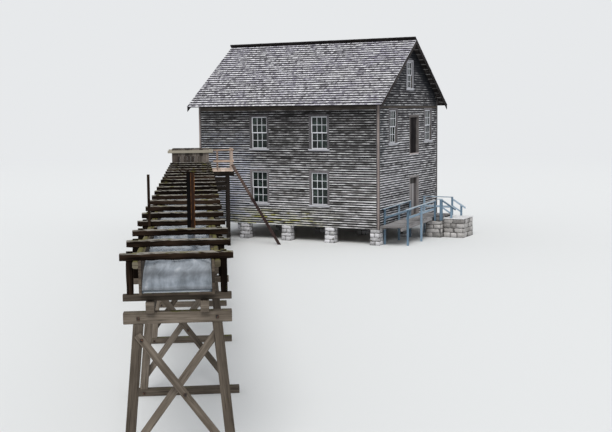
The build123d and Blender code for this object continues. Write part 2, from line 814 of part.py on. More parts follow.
def entry_rails():
    """Cap rails along the post tops and middle rails on the deck's side of the posts."""
    size, half = entry_post, cap_rail_wide / 2
    solids = []
    ends = ((inner_posts_y[0], ramp_end - 20), (outer_posts_y[0], outer_posts_y[-1] + size))
    for x, (y0, y1) in zip((ramp_in - size / 2, ramp_out + size / 2), ends):
        y0 -= rail_over
        line = [(y, ramp_z(y) + entry_rail_up + cap_rail_thick) for y in (y0, min(y1, ramp_end))]
        outline = sloped(line[0], line[1], cap_rail_thick)
        if y1 > ramp_end:
            flat = landing_top + entry_rail_up
            outline = [outline[0], outline[1], (y1, flat), (y1, flat + cap_rail_thick),
                       outline[2], outline[3]]
        solids.append(prism_x(outline, x - half, x + half))
    for x, (y0, y1) in zip((ramp_in, ramp_out - 36), ends):
        line = [(y, ramp_z(y) + entry_mid_up) for y in (y0, min(y1, ramp_end))]
        outline = sloped(line[0], line[1], 110)
        if y1 > ramp_end:
            flat = landing_top + entry_mid_up
            outline = [outline[0], outline[1], (y1, flat - 110), (y1, flat), outline[2], outline[3]]
        solids.append(prism_x(outline, x, x + 36))
    high = landing_top + entry_rail_up + newel_over
    solids.append(block(ramp_out + 80, newel_x + newel_size, landing_step_y - newel_size, landing_step_y,
                        high, high + cap_rail_thick))
    y = landing_far + size / 2
    solids.append(block(landing_in + 5, landing_out - 10, y - half, y + half, high, high + cap_rail_thick))
    solids.append(block(ramp_in, landing_out - size, landing_far, landing_far + 36,
                        landing_top + entry_mid_up - 110, landing_top + entry_mid_up))
    for y0, x0, newel in ((landing_step_y - size, newel_x + newel_size + 2, lower_newels_x[0]),
                          (landing_far, landing_out + 2, lower_newels_x[1])):
        x1 = newel + 270
        outline = [(x0, step_rail_at(x0)), (x1, step_rail_at(x1)),
                   (x1, step_rail_at(x1) + hand_rail_deep), (x0, step_rail_at(x0) + hand_rail_deep)]
        solids.append(prism_y(outline, y0 - 10, y0 + size + 10))
        x0, x1 = x0 - 2, newel
        low0, low1 = (step_rail_at(x) - stair_mid_down for x in (x0, x1))
        outline = [(x0, low0), (x1, low1), (x1, low1 + hand_rail_deep), (x0, low0 + hand_rail_deep)]
        solids.append(prism_y(outline, y0 + 27, y0 + size - 27))
    return group(solids)


def entry_stonework():
    """Battered stone under the landing, and the block that the step lies on."""
    solids = []
    for x0, x1, y0, y1, high in ((base_in, landing_out - 50, outer_posts_y[-1] - 55, landing_far - 20,
                                  base_top),
                                 (landing_out, step_out, landing_step_y - 50, landing_far + 150,
                                  step_top - step_plank)):
        stone = extrude(Rectangle(x1 - x0, y1 - y0), high, taper=stone_batter)
        solids.append(Pos((x0 + x1) / 2, (y0 + y1) / 2, 0) * stone)
    return group(solids)


def step_tread():
    return block(landing_out, step_out + 20, landing_step_y - 70, landing_far + 170,
                 step_top - step_plank, step_top)


parts = {
    "stone_piers": stone_piers(),
    "long_sills": long_sills(),
    "floor_joists": floor_joists(),
    "floors": floors(),
    "front_wall": long_wall("front"),
    "back_wall": long_wall("back"),
    "gable_walls": gable_walls(),
    "gable_walls_over_doors": gable_walls_over_doors(),
    "gable_peak": cut_windows(prism_x(peak_outline(belt_top), -wall_thick, 0), "near"),
    "far_gable_wall": cut_windows(prism_x(peak_outline(siding_bottom), -house_length,
                                          -house_length + wall_thick), "far"),
    "corner_boards": corner_boards(),
    "frieze_and_belt_boards": frieze_and_belt_boards(),
    "window_casings": group([window_casing(*w) for w in windows()]),
    "window_sashes": group([s for w in windows() for s in window_sashes(*w)]),
    "window_glass": group([s for w in windows() for s in window_panes(*w)]),
    "entry_door": door_leaf(threshold_top, threshold_top + entry_height, leaf_clear),
    "door_straps": door_straps(),
    "door_pintles": door_pintles(),
    "entry_sill": block(-wall_thick, landing_in, door_y[0], door_y[1], siding_bottom, threshold_top),
    "door_frames": group([door_frame(threshold_top, threshold_top + entry_height),
                          door_frame(*upper_door_z)]),
    "upper_door": door_leaf(*upper_door_z, 0),
    "roof_front": roof_slab(True),
    "roof_back": roof_slab(False),
    "rafters": rafters(),
    "barge_boards": barge_boards(),
    "flume_floor": flume_frame * block(-trough_clear / 2, trough_clear / 2, -trough_end, 0,
                                       tie_top, tie_top + plank),
    "flume_walls": in_flume([block(*sorted((s * trough_clear / 2, s * (trough_clear / 2 + plank))),
                                   -trough_end, 0, tie_top, yoke_low) for s in (-1, 1)]),
    "side_rails": side_rails(),
    "yoke_beams": yoke_beams(),
    "yoke_posts": yoke_posts(),
    "yoke_ties": in_flume(cross_pieces(yoke_places(), tie_length / 2, tie_high, tie_low, tie_top)),
    "flume_stringers": in_flume([block(*sorted((s * stringer_in, s * (stringer_in + stringer_wide))),
                                       -trough_end + 50, 0, stringer_low, tie_low) for s in (-1, 1)]),
    "trestle_beams": in_flume(cross_pieces(bent_places(), cap_length / 2, cap_wide, cap_low, stringer_low)
                              + cross_pieces(bent_places(), ground_sill_length / 2, cap_wide,
                                             0, ground_sill_high)),
    "trestle_legs": trestle_legs(),
    "trestle_braces": trestle_braces(),
    "gate": gate(),
    "gate_guides": gate_guides(),
    "penstock_front": penstock_front(),
    "penstock_back": flume_frame * block(-penstock_half, penstock_half, penstock_deep - penstock_wall,
                                         penstock_deep, penstock_sill, penstock_top),
    "penstock_sides": penstock_sides(),
    "penstock_floor": flume_frame * block(-penstock_half + penstock_wall, penstock_half - penstock_wall,
                                          penstock_wall, penstock_deep - penstock_wall,
                                          penstock_sill, penstock_sill + penstock_wall),
    "penstock_sills": in_flume([block(s * sill_mid - penstock_sill_wide / 2,
                                      s * sill_mid + penstock_sill_wide / 2,
                                      -150, penstock_deep + 150, 0, penstock_sill) for s in (-1, 1)]),
    "penstock_cross_bands": penstock_bands(True),
    "penstock_side_bands": penstock_bands(False),
    "penstock_ties": penstock_ties(),
    "platform_deck": flume_frame * block(penstock_half, deck_out, deck_front, deck_back,
                                         deck_top - deck_thick, deck_top),
    "platform_logs": platform_logs(),
    "platform_posts": platform_posts(),
    "platform_apron": platform_apron(),
    "platform_rails": platform_rails(),
    "platform_prop": platform_prop(),
    "ramp_deck": ramp_deck(),
    "ramp_bearers": group(ramp_stringers() + landing_joists()),
    "landing_deck": landing_deck(),
    "entry_posts": entry_posts(),
    "entry_rails": entry_rails(),
    "entry_stonework": entry_stonework(),
    "step_tread": step_tread(),
}

os.makedirs("parts", exist_ok=True)
for name, shape in parts.items():
    export_step(shape, f"parts/{name}.step")
    box = shape.bounding_box()
    print(f"{name:26s} {len(shape.solids()):3d} solids  {box.min.X:9.1f} {box.max.X:9.1f} "
          f"{box.min.Y:9.1f} {box.max.Y:9.1f} {box.min.Z:8.1f} {box.max.Z:8.1f}")
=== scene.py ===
import bmesh
import bpy
import json
import math
import numpy as np
from mathutils import Matrix, Vector

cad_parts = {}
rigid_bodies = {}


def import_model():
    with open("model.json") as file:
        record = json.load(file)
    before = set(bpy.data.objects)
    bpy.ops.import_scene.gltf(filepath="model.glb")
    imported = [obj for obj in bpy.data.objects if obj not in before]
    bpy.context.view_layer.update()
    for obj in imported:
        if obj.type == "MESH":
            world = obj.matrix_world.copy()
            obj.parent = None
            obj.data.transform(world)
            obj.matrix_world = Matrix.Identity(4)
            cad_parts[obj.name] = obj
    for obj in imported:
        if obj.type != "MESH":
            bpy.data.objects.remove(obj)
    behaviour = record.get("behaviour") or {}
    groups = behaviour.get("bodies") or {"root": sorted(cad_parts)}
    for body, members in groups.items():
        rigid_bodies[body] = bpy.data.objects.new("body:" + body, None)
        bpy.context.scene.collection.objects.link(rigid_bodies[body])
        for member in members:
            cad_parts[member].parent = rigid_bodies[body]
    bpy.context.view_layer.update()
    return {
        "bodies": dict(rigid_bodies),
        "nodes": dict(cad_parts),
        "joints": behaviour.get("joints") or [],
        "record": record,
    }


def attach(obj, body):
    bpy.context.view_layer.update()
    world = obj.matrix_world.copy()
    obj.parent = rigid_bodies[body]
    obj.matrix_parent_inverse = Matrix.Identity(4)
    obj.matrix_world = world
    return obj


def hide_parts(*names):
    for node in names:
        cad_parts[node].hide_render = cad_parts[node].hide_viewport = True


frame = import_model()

nodes = frame["nodes"]
print("frame loaded,", len(nodes), "nodes")

# Sizes that the pieces share, in metres, as in the frame
house = {"length": 10.2, "width": 7.9, "sidingFoot": 0.78, "eaveTop": 6.8, "pitch": 36.0, "ridge": 10.095,
         "eaveOver": 0.585, "vergeOver": 0.4, "slab": 0.08, "comb": 0.25}
windows = {"frontX": (-6.6, -3.19), "frontZ": (1.86, 4.63), "gableY": (1.75, 6.5), "gableZ": 4.9,
           "size": (0.9, 1.6), "attic": (3.95, 7.61, 0.7, 1.33)}
flume = {"end": (-8.63, -3.23), "turn": 33.7, "yokes": 19, "pitch": 1.8, "first": 0.2, "clear": 1.22,
         "plank": 0.045, "tieTop": 3.32, "yokeLow": 3.92, "yokeTop": 4.05, "tail": 0.25, "postMid": 0.82,
         "water": 3.74}
boardLap = {"exposure": 0.117, "height": 0.142}
shingleLap = {"exposure": 0.2, "height": 0.42}
slope = math.tan(math.radians(house["pitch"]))
flumeCos, flumeSin = math.cos(math.radians(flume["turn"])), math.sin(math.radians(flume["turn"]))
troughEnd = flume["first"] + flume["pitch"] * (flume["yokes"] - 1) + flume["tail"]
yokeAlong = -(flume["first"] + flume["pitch"] * np.arange(flume["yokes"]))
world = ((0, 0, 0), (1, 0, 0), (0, 1, 0), (0, 0, 1))
# The flume's frame: across to the right, along downstream, up
flumeFrame = ((*flume["end"], 0), (flumeCos, flumeSin, 0), (-flumeSin, flumeCos, 0), (0, 0, 1))


def inFrame(frame, x, y, z):
    # World points from a frame, (origin, three ways), and how far they stand along each way
    return frame[0] + sum(np.asarray(place, float)[..., None] * np.array(way, float)
                          for place, way in zip((x, y, z), frame[1:]))


def roofUnder(y):
    # Height of the roof's underside above a place across the house
    plumb = house["slab"] / math.cos(math.radians(house["pitch"]))
    return house["eaveTop"] - plumb + slope * (np.minimum(y, house["width"] - y) + house["eaveOver"])


def evenly(low, high, count):
    # The middles of boards laid side by side, and the width of one
    edges = np.linspace(low, high, count + 1)
    return (edges[:-1] + edges[1:]) / 2, edges[1] - edges[0]


# Camera, floor and light
view = {"place": (19.743, -45.0, 6.467), "azimuth": 27.776, "down": 5.821, "roll": -0.539, "lens": 60.146}
light = {"sun": 2.1, "sunAngle": 34.0, "sunFrom": (0.30, -0.70, 0.85), "sunColour": (1.0, 0.985, 0.96),
         "sky": 0.58, "skyColour": (0.93, 0.96, 1.0), "backdrop": (0.80, 0.815, 0.83),
         "floor": (0.78, 0.79, 0.79), "floorHalf": 400, "fadeFrom": (-2.0, -9.0, 0.0), "fade": (42.0, 110.0)}


def newObject(name, data):
    made = bpy.data.objects.new(name, data)
    bpy.context.scene.collection.objects.link(made)
    return made


def addCamera():
    azimuth, down, roll = (math.radians(view[key]) for key in ("azimuth", "down", "roll"))
    level = math.cos(down)
    forward = Vector((-math.sin(azimuth) * level, math.cos(azimuth) * level, -math.sin(down)))
    right = Vector((math.cos(azimuth), math.sin(azimuth), 0))
    up = right.cross(forward)
    turn = Matrix((right * math.cos(roll) + up * math.sin(roll), up * math.cos(roll) - right * math.sin(roll),
                   -forward))
    data = bpy.data.cameras.new("millView")
    data.lens, data.sensor_width, data.clip_end = view["lens"], 36.0, 500.0
    camera = newObject("millView", data)
    camera.matrix_world = Matrix.Translation(view["place"]) @ turn.transposed().to_4x4()
    bpy.context.scene.camera = camera


class Wire:
    # One output socket of a node, or just its tree; arithmetic on it adds Math nodes

    def __init__(self, tree, socket=None):
        self.tree, self.socket = tree, socket

    def node(self, kind, settings, values, output=0):
        # Any node: its type, its settings, then the values or links of its sockets; gives one output
        made = self.tree.nodes.new("ShaderNode" + kind)
        for key, value in settings.items():
            if key == "stops":
                stops = made.color_ramp.elements
                while len(stops) < len(value):
                    stops.new(0.5)
                for stop, (place, colour) in zip(stops, value):
                    stop.position, stop.color = place, (*colour, 1.0)
            else:
                setattr(made, key, value)
        feed(made, values)
        return Wire(self.tree, made.outputs[output])

    def out(self, key):
        return Wire(self.tree, self.socket.node.outputs[key])

    def calc(self, operation, first, second):
        return self.node("Math", {"operation": operation}, {0: first, 1: second})

    def __add__(self, other):
        return self.calc("ADD", self, other)

    def __sub__(self, other):
        return self.calc("SUBTRACT", self, other)

    def __rsub__(self, other):
        return self.calc("SUBTRACT", other, self)

    def __mul__(self, other):
        return self.calc("MULTIPLY", self, other)

    __radd__, __rmul__ = __add__, __mul__


def feed(node, values):
    # Values or links into the sockets of a node
    for key, value in values.items():
        if isinstance(value, Wire):
            value.tree.links.new(value.socket, node.inputs[key])
        else:
            node.inputs[key].default_value = value


def newFinish(name, build, *given):
    # A material: build adds its nodes and says what goes into the sockets of its Principled shader
    material = bpy.data.materials.new(name)
    material.use_nodes = True
    feed(material.node_tree.nodes["Principled BSDF"], build(Wire(material.node_tree), *given))
    return material


def noise(vector, scale, detail=3.0, harsh=0.55):
    return vector.node("TexNoise", {}, {"Vector": vector, "Scale": scale, "Detail": detail, "Roughness": harsh})


def between(wire, low, high):
    # 0 below low, 1 above high, smooth between
    return wire.node("MapRange", {"interpolation_type": "SMOOTHSTEP"},
                     {"Value": wire, "From Min": low, "From Max": high})


def below(wire, low, high):
    return 1.0 - between(wire, low, high)


def blend(amount, first, second, mode="MIX"):
    # A colour between two, by amount
    maker = amount if isinstance(amount, Wire) else first
    first, second = (colour if isinstance(colour, Wire) else (*colour, 1.0) for colour in (first, second))
    return maker.node("Mix", {"data_type": "RGBA", "blend_type": mode}, {0: amount, 6: first, 7: second}, 2)


def join(x, y, z):
    return x.node("CombineXYZ", {}, {0: x, 1: y, 2: z})


def split(vector):
    x = vector.node("SeparateXYZ", {}, {0: vector})
    return x, x.out(1), x.out(2)


def ramp(wire, places, colours):
    return wire.node("ValToRGB", {"stops": list(zip(places, colours))}, {0: wire})


def bump(height, strength, distance):
    return height.node("Bump", {}, {"Strength": strength, "Distance": distance, "Height": height})


def roughFrom(wire, least):
    return wire.node("MapRange", {}, {"Value": wire, "To Min": least, "To Max": 0.98})


def objectPlace(start):
    return start.node("TexCoord", {}, {}, "Object")


def ownTone(start):
    return start.node("Attribute", {"attribute_name": "tone"}, {}, "Fac")


def grainPlace(start):
    # Metres along and across the grain
    return split(start.node("UVMap", {"uv_map": "grain"}, {}))[:2]


def paleFloor(start):
    return {"Base Color": (*light["floor"], 1), "Roughness": 0.9}


def addStage():
    # A pale floor that runs out into the backdrop's colour, and soft light
    scene, half = bpy.context.scene, light["floorHalf"]
    scene.view_settings.view_transform = "Standard"
    mesh = bpy.data.meshes.new("floor")
    mesh.from_pydata([(-half, -half, 0), (half, -half, 0), (half, half, 0), (-half, half, 0)], [], [(0, 1, 2, 3)])
    floor = newObject("floor", mesh)
    material = newFinish("paleFloor", paleFloor)
    start = Wire(material.node_tree)
    far = start.node("VectorMath", {"operation": "DISTANCE"}, {0: objectPlace(start), 1: light["fadeFrom"]},
                     "Value")
    seen = start.node("LightPath", {}, {}, "Is Camera Ray")
    glow = start.node("Emission", {}, {"Color": (*light["backdrop"], 1), "Strength": 1.0})
    plain = Wire(start.tree, start.tree.nodes["Principled BSDF"].outputs[0])
    both = start.node("MixShader", {}, {0: between(far, *light["fade"]) * seen, 1: plain, 2: glow})
    feed(start.tree.nodes["Material Output"], {"Surface": both})
    mesh.materials.append(material)

    scene.world = bpy.data.worlds.new("studio")
    scene.world.use_nodes = True
    start = Wire(scene.world.node_tree)
    start.tree.nodes.clear()
    seen = start.node("LightPath", {}, {}, "Is Camera Ray")
    seen = seen.calc("MAXIMUM", seen, seen.out("Is Glossy Ray"))
    sky, back = (start.node("Background", {}, {"Color": (*colour, 1), "Strength": strength})
                 for colour, strength in ((light["skyColour"], light["sky"]), (light["backdrop"], 1.0)))
    both = start.node("MixShader", {}, {0: seen, 1: sky, 2: back})
    feed(start.tree.nodes.new("ShaderNodeOutputWorld"), {"Surface": both})

    lamp = bpy.data.lights.new("key", "SUN")
    lamp.energy, lamp.angle, lamp.color = light["sun"], math.radians(light["sunAngle"]), light["sunColour"]
    newObject("key", lamp).rotation_euler = Vector(light["sunFrom"]).to_track_quat("Z", "Y").to_euler()


addCamera()
addStage()
print("camera, floor and light set")

# Threads of noise in wood: how many to a metre along and across, the shift by tone, detail and harshness
threads = {"fibre": (1.6, 46.0, 31.0, 4.0, 0.65), "streak": (0.55, 8.0, 17.0, 3.0, 0.55),
           "check": (1.9, 80.0, 53.0, 2.0, 0.55)}


def wood(start, name):
    # Weathered wood: fibres drawn out along the grain, darker checks, blotches, and each timber's own tone.
    # value = 0.5*fibre + 0.35*streak + spread*(tone - 0.5) + blotch*(cloud - 0.5) + 0.075, read through the shades
    *shades, spread, blotch, checks, rough, relief = woods[name]
    look = {**plainWood, **woodExtras.get(name, {})}
    spot = objectPlace(start)
    x, y, z = split(spot)
    if look["along"] == "uv":
        (u, v), tone = grainPlace(start), ownTone(start)
    else:  # a mesh of the CAD's own, with its boards along x
        u, v, tone = x, y + z, noise(spot, 1.7, 1.0)
    fibre, streak, crack = (noise(join(u * ahead, v * (aside * look["across"]), tone * shift), 1.0, detail, harsh)
                            for ahead, aside, shift, detail, harsh in threads.values())
    check = between(crack, 0.62, 0.70)
    cloud = noise(spot, 1.1, 4.0)
    value = fibre * 0.5 + streak * 0.35 + (tone - 0.5) * spread + (cloud - 0.5) * blotch + 0.075
    colour = ramp(value, (0.22, 0.48, 0.76), shades)
    colour = blend(check * checks, colour, [part * 0.25 for part in shades[0]])
    up = split(start.node("NewGeometry", {}, {}, "Normal"))[2]
    for layer in look["layers"]:
        colour = layer(colour, {"spot": spot, "x": x, "y": y, "z": z, "u": u, "v": v, "up": up, "tone": tone,
                                "fibre": fibre})
    return {"Base Color": colour, "Roughness": roughFrom(fibre, rough), "Specular IOR Level": look["gloss"],
            "Normal": bump(fibre * 0.7 + streak * 0.4 - check * 0.6, relief, 0.006)}


def moss(amount, colour, size=5.0, onTop=0.8):
    # Moss or lichen where a cloud of noise and the way that the face looks allow it
    def layer(under, at):
        patch = noise(at["spot"], size, 5.0, 0.6) + noise(at["spot"], size * 7.0, 2.0) * 0.25
        mask = between(patch + at["up"] * (onTop * 0.25), 0.86 - amount * 0.35, 0.98 - amount * 0.35)
        green = blend(noise(at["spot"], size * 4.0), [part * 0.45 for part in colour], colour)
        return blend(mask * 0.9, under, green)
    return layer


def topLight(colour, amount):
    # Painted light: faces that look up are paler
    def layer(under, at):
        return blend(between(at["up"] + (at["fibre"] - 0.5) * 0.5, 0.35, 0.95) * amount, under, colour)
    return layer


def lapShadeAndDirt(lap, amount, edge, climb=None):
    # Each board is darker under the lap above it, partly dirt and partly painted shade, and pale at its lower
    # edge, partly wear and partly painted highlight; with climb (low, high, share) the darkening reaches further
    # down the boards from one height to another, as painted shade towards the roof
    exposure = lap["exposure"]

    def layer(under, at):
        rise = (lap["height"] * 2 + 0.006) - at["v"]
        shadeAndDirtRise = rise
        if climb:
            field = (noise(at["spot"], 0.55) - 0.5) * 3.0
            shadeAndDirtRise = rise + between(at["z"] + field, *climb[:2]) * (climb[2] * exposure)
        ragged = (noise(join(at["u"] * 2.3, at["tone"] * 23.0, 5.0), 1.0, 5.0, 0.65) - 0.5) * exposure
        torn = ragged * 0.7 + (at["fibre"] - 0.5) * exposure * 0.6
        # darker under the lap: partly dirt, partly painted shade
        shadeAndDirt = between(shadeAndDirtRise + torn, exposure * 0.31, exposure * 0.45) * amount
        # paler lower edge: partly wear, partly painted highlight
        worn = below(rise + ragged * 0.5, exposure * 0.12, exposure * 0.46) * edge
        worn = worn * between(noise(join(at["u"] * 1.7, at["tone"] * 41.0, 9.0), 1.0, 2.0), 0.40, 0.62)
        pale = blend(0.9, under, (0.86, 0.86, 0.88), "SCREEN")
        grimeAndShade = blend(between(at["fibre"], 0.35, 0.70), (0.0022, 0.0021, 0.0024), (0.040, 0.037, 0.038))
        return blend(shadeAndDirt, blend(worn, under, pale), grimeAndShade)
    return layer


def longWallTint(under, at):
    # Painted shade: darker towards the eave and the entry corner; paler at the left; lichen on the lowest boards
    x, z = at["x"], at["z"]
    wave = (noise(at["spot"], 0.6) - 0.5) * 1.6
    colour = blend(between(z + x * 0.22 + wave, 1.6, 4.8) * 0.55, under, (0.085, 0.088, 0.096))
    left = below(x + wave, -8.7, -5.4) * below(z, 4.4, 6.2) * 0.88
    colour = blend(left, colour, (0.70, 0.75, 0.88))
    patch = noise(join(at["u"] * 1.2, at["v"] * 15.0, at["tone"] * 11.0), 1.0)
    low = below(z + wave * 0.35, 1.15, 1.80) * between(x, -9.4, -7.6) * below(x, -4.2, -1.8)
    return blend(low * between(patch, 0.44, 0.56) * 0.80, colour, (0.42, 0.40, 0.07))


def gableTint(under, at):
    # Painted shade darker towards the roof and the peak; darker also towards the far corner, and bluish beside the
    # near corner
    y, z = at["y"], at["z"]
    wave = (noise(at["spot"], 0.7) - 0.5) * 1.8
    corner = below(y + wave * 0.1, 0.75, 1.15) * between(z + wave, 3.2, 4.4)
    colour = blend(0.22, under, (0.20, 0.19, 0.215))
    for mask, tint in ((between(z + wave, 3.4, 6.4) * 0.45, (0.085, 0.083, 0.098)),
                       (between(y + wave, 4.9, 6.6) * 0.42, (0.075, 0.073, 0.08)),
                       (between(z + wave * 0.5, 6.4, 7.4) * 0.55, (0.06, 0.06, 0.07)),
                       (corner * 0.55, (0.045, 0.065, 0.080))):
        colour = blend(mask, colour, tint)
    return colour


def roofShadow(under, at):
    # The gable is dim above the belt and near black under both slopes
    wave = noise(at["spot"], 0.7) - 0.5
    colour = blend(between(at["z"] + wave * 1.4, 6.9, 8.3) * 0.50, under, (0.022, 0.024, 0.031))
    for lean, deep, amount in ((slope, -0.62, 0.86), (-slope, -0.45, 0.80)):
        depth = at["z"] + at["y"] * lean - (house["ridge"] + house["width"] / 2 * lean) + wave * 0.27
        colour = blend(between(depth, deep - 0.40, deep) * amount, colour, (0.006, 0.007, 0.010))
    return colour


def roofTint(under, at):
    # Bluish and purplish fields over the shingles, and dark specks
    colour = blend(between(noise(at["spot"], 0.55, 2.0), 0.38, 0.66) * 0.45, under, (0.34, 0.318, 0.43))
    return blend(between(noise(at["spot"], 9.0, 4.0), 0.56, 0.70) * 0.6, colour, (0.05, 0.046, 0.05))


def shadeBetween(axis, low, high, colour, amount, gables=False):
    # A tint where x, y or z lies between two values, everywhere or only past the ends of the long walls, where
    # (x + length/2)^2 is over (length/2)^2
    def layer(under, at):
        place = at[axis] + (at["fibre"] - 0.5) * 0.03
        mask = between(place, low - 0.01, low + 0.02) * below(place, high - 0.02, high + 0.01)
        if gables:
            half = house["length"] / 2
            beside = at["x"] + half
            mask = mask * between(beside * beside, half * half + 0.02, half * half + 0.06)
        return blend(mask * amount, under, colour)
    return layer


def arrisTint(under, at):
    # Corner boards keep the trim's paler colour at the arris and are as grey as the siding away from it
    wave = (at["fibre"] - 0.5) * 0.03
    inner = below(at["x"] + wave, -0.062, -0.040) * between(at["x"] + wave, -10.16, -10.14)
    inner = inner + between(at["x"], 0.012, 0.02) * between(at["y"] + wave, 0.02, 0.05)
    return blend(inner * 0.85, under, (0.05, 0.05, 0.055))


def stemTint(under, at):
    # The gate's stem is two planks: a black one, and a brown one with rusty orange edges
    across = at["spot"].node("VectorMath", {"operation": "DOT_PRODUCT"},
                             {0: at["spot"], 1: flumeFrame[1]}, "Value")
    across = across - (flume["end"][0] * flumeCos + flume["end"][1] * flumeSin) + (at["fibre"] - 0.5) * 0.012
    edge = between(across, 0.294, 0.302) + between(across, 0.220, 0.224) * below(across, 0.228, 0.232)
    brown = blend(at["fibre"], (0.010, 0.006, 0.005), (0.045, 0.024, 0.016))
    colour = blend(between(across, 0.212, 0.218), (0.005, 0.0045, 0.0045), brown)
    return blend(edge * between(at["fibre"], 0.40, 0.60) * 0.85, colour, (0.24, 0.10, 0.03))


# Woods: dark, middle and light shade, spread between timbers, blotches, checks, least roughness and relief
woods = {
    "longSiding": ((0.04, 0.038, 0.036), (0.29, 0.284, 0.28), (0.72, 0.725, 0.745), 0.50, 0.42, 0.85, 0.72, 0.6),
    "gableSiding": ((0.07, 0.068, 0.068), (0.40, 0.397, 0.415), (0.82, 0.825, 0.85), 0.46, 0.32, 0.8, 0.72, 0.6),
    "shingle": ((0.07, 0.066, 0.076), (0.42, 0.406, 0.450), (0.90, 0.89, 0.94), 0.40, 0.16, 0.75, 0.74, 0.5),
    "wallBack": ((0.03, 0.027, 0.025), (0.09, 0.08, 0.07), (0.16, 0.14, 0.12), 0.2, 0.3, 0.5, 0.8, 0.3),
    "floorBoards": ((0.07, 0.055, 0.04), (0.20, 0.16, 0.12), (0.34, 0.28, 0.21), 0.2, 0.3, 0.5, 0.7, 0.3),
    "oldTimber": ((0.04, 0.032, 0.026), (0.13, 0.105, 0.083), (0.26, 0.22, 0.18), 0.2, 0.3, 0.7, 0.75, 0.5),
    "cornerTrim": ((0.07, 0.056, 0.050), (0.22, 0.18, 0.168), (0.46, 0.40, 0.38), 0.2, 0.35, 0.6, 0.72, 0.4),
    # darkTrim and barge are near black partly as painted shade: under the eave on the frieze, under the verges and
    # the comb on the barge and roof boards
    "darkTrim": ((0.02, 0.017, 0.015), (0.062, 0.053, 0.046), (0.17, 0.145, 0.125), 0.2, 0.35, 0.6, 0.72, 0.4),
    "barge": ((0.006, 0.005, 0.005), (0.024, 0.021, 0.021), (0.10, 0.09, 0.088), 0.2, 0.35, 0.6, 0.75, 0.4),
    "casing": ((0.055, 0.049, 0.052), (0.190, 0.178, 0.186), (0.46, 0.44, 0.46), 0.3, 0.3, 0.6, 0.7, 0.4),
    "doorFrame": ((0.035, 0.030, 0.029), (0.135, 0.122, 0.118), (0.34, 0.32, 0.32), 0.3, 0.3, 0.6, 0.7, 0.4),
    "sillStick": ((0.20, 0.165, 0.165), (0.46, 0.40, 0.40), (0.66, 0.60, 0.60), 0.2, 0.3, 0.6, 0.7, 0.4),
    "sash": ((0.42, 0.42, 0.45), (0.72, 0.73, 0.78), (0.88, 0.90, 0.95), 0.15, 0.25, 0.35, 0.6, 0.25),
    "entryLeaf": ((0.10, 0.09, 0.088), (0.30, 0.28, 0.28), (0.48, 0.46, 0.465), 0.25, 0.3, 0.7, 0.7, 0.4),
    "darkLeaf": ((0.003, 0.0025, 0.003), (0.020, 0.017, 0.018), (0.08, 0.07, 0.07), 0.25, 0.3, 0.7, 0.75, 0.4),
    "yoke": ((0.0015, 0.0012, 0.001), (0.0065, 0.0042, 0.003), (0.048, 0.030, 0.020), 0.2, 0.40, 0.8, 0.80, 0.8),
    "stem": ((0.012, 0.009, 0.007), (0.035, 0.024, 0.017), (0.09, 0.06, 0.04), 0.1, 0.2, 0.7, 0.75, 0.6),
    "sideRail": ((0.022, 0.018, 0.012), (0.10, 0.085, 0.055), (0.26, 0.235, 0.18), 0.2, 0.4, 0.6, 0.75, 0.8),
    "trough": ((0.012, 0.010, 0.008), (0.05, 0.038, 0.029), (0.16, 0.13, 0.10), 0.25, 0.35, 0.7, 0.6, 0.6),
    "trestle": ((0.03, 0.024, 0.018), (0.105, 0.086, 0.068), (0.26, 0.22, 0.18), 0.28, 0.35, 0.85, 0.72, 0.6),
    "penstock": ((0.022, 0.018, 0.016), (0.085, 0.070, 0.060), (0.24, 0.21, 0.185), 0.35, 0.35, 0.7, 0.62, 0.5),
    "tanBoard": ((0.10, 0.062, 0.042), (0.52, 0.385, 0.30), (0.80, 0.67, 0.58), 0.5, 0.5, 0.9, 0.72, 0.6),
    "platformPost": ((0.07, 0.045, 0.034), (0.33, 0.245, 0.20), (0.66, 0.55, 0.48), 0.5, 0.5, 0.9, 0.72, 0.6),
    "propBoard": ((0.025, 0.017, 0.015), (0.135, 0.095, 0.080), (0.40, 0.32, 0.29), 0.5, 0.45, 0.9, 0.74, 0.6),
    "greyBoard": ((0.08, 0.075, 0.075), (0.235, 0.225, 0.225), (0.42, 0.41, 0.41), 0.3, 0.3, 0.7, 0.74, 0.5),
    "log": ((0.004, 0.0035, 0.003), (0.016, 0.013, 0.011), (0.06, 0.048, 0.042), 0.1, 0.4, 0.9, 0.78, 1.0),
    "blueGrey": ((0.05, 0.085, 0.12), (0.185, 0.275, 0.365), (0.46, 0.56, 0.66), 0.30, 0.35, 0.6, 0.62, 0.4),
    "paleStep": ((0.46, 0.45, 0.44), (0.80, 0.80, 0.81), (0.93, 0.93, 0.94), 0.15, 0.25, 0.5, 0.7, 0.4),
}
woods["penstockBand"] = woods["trestle"]
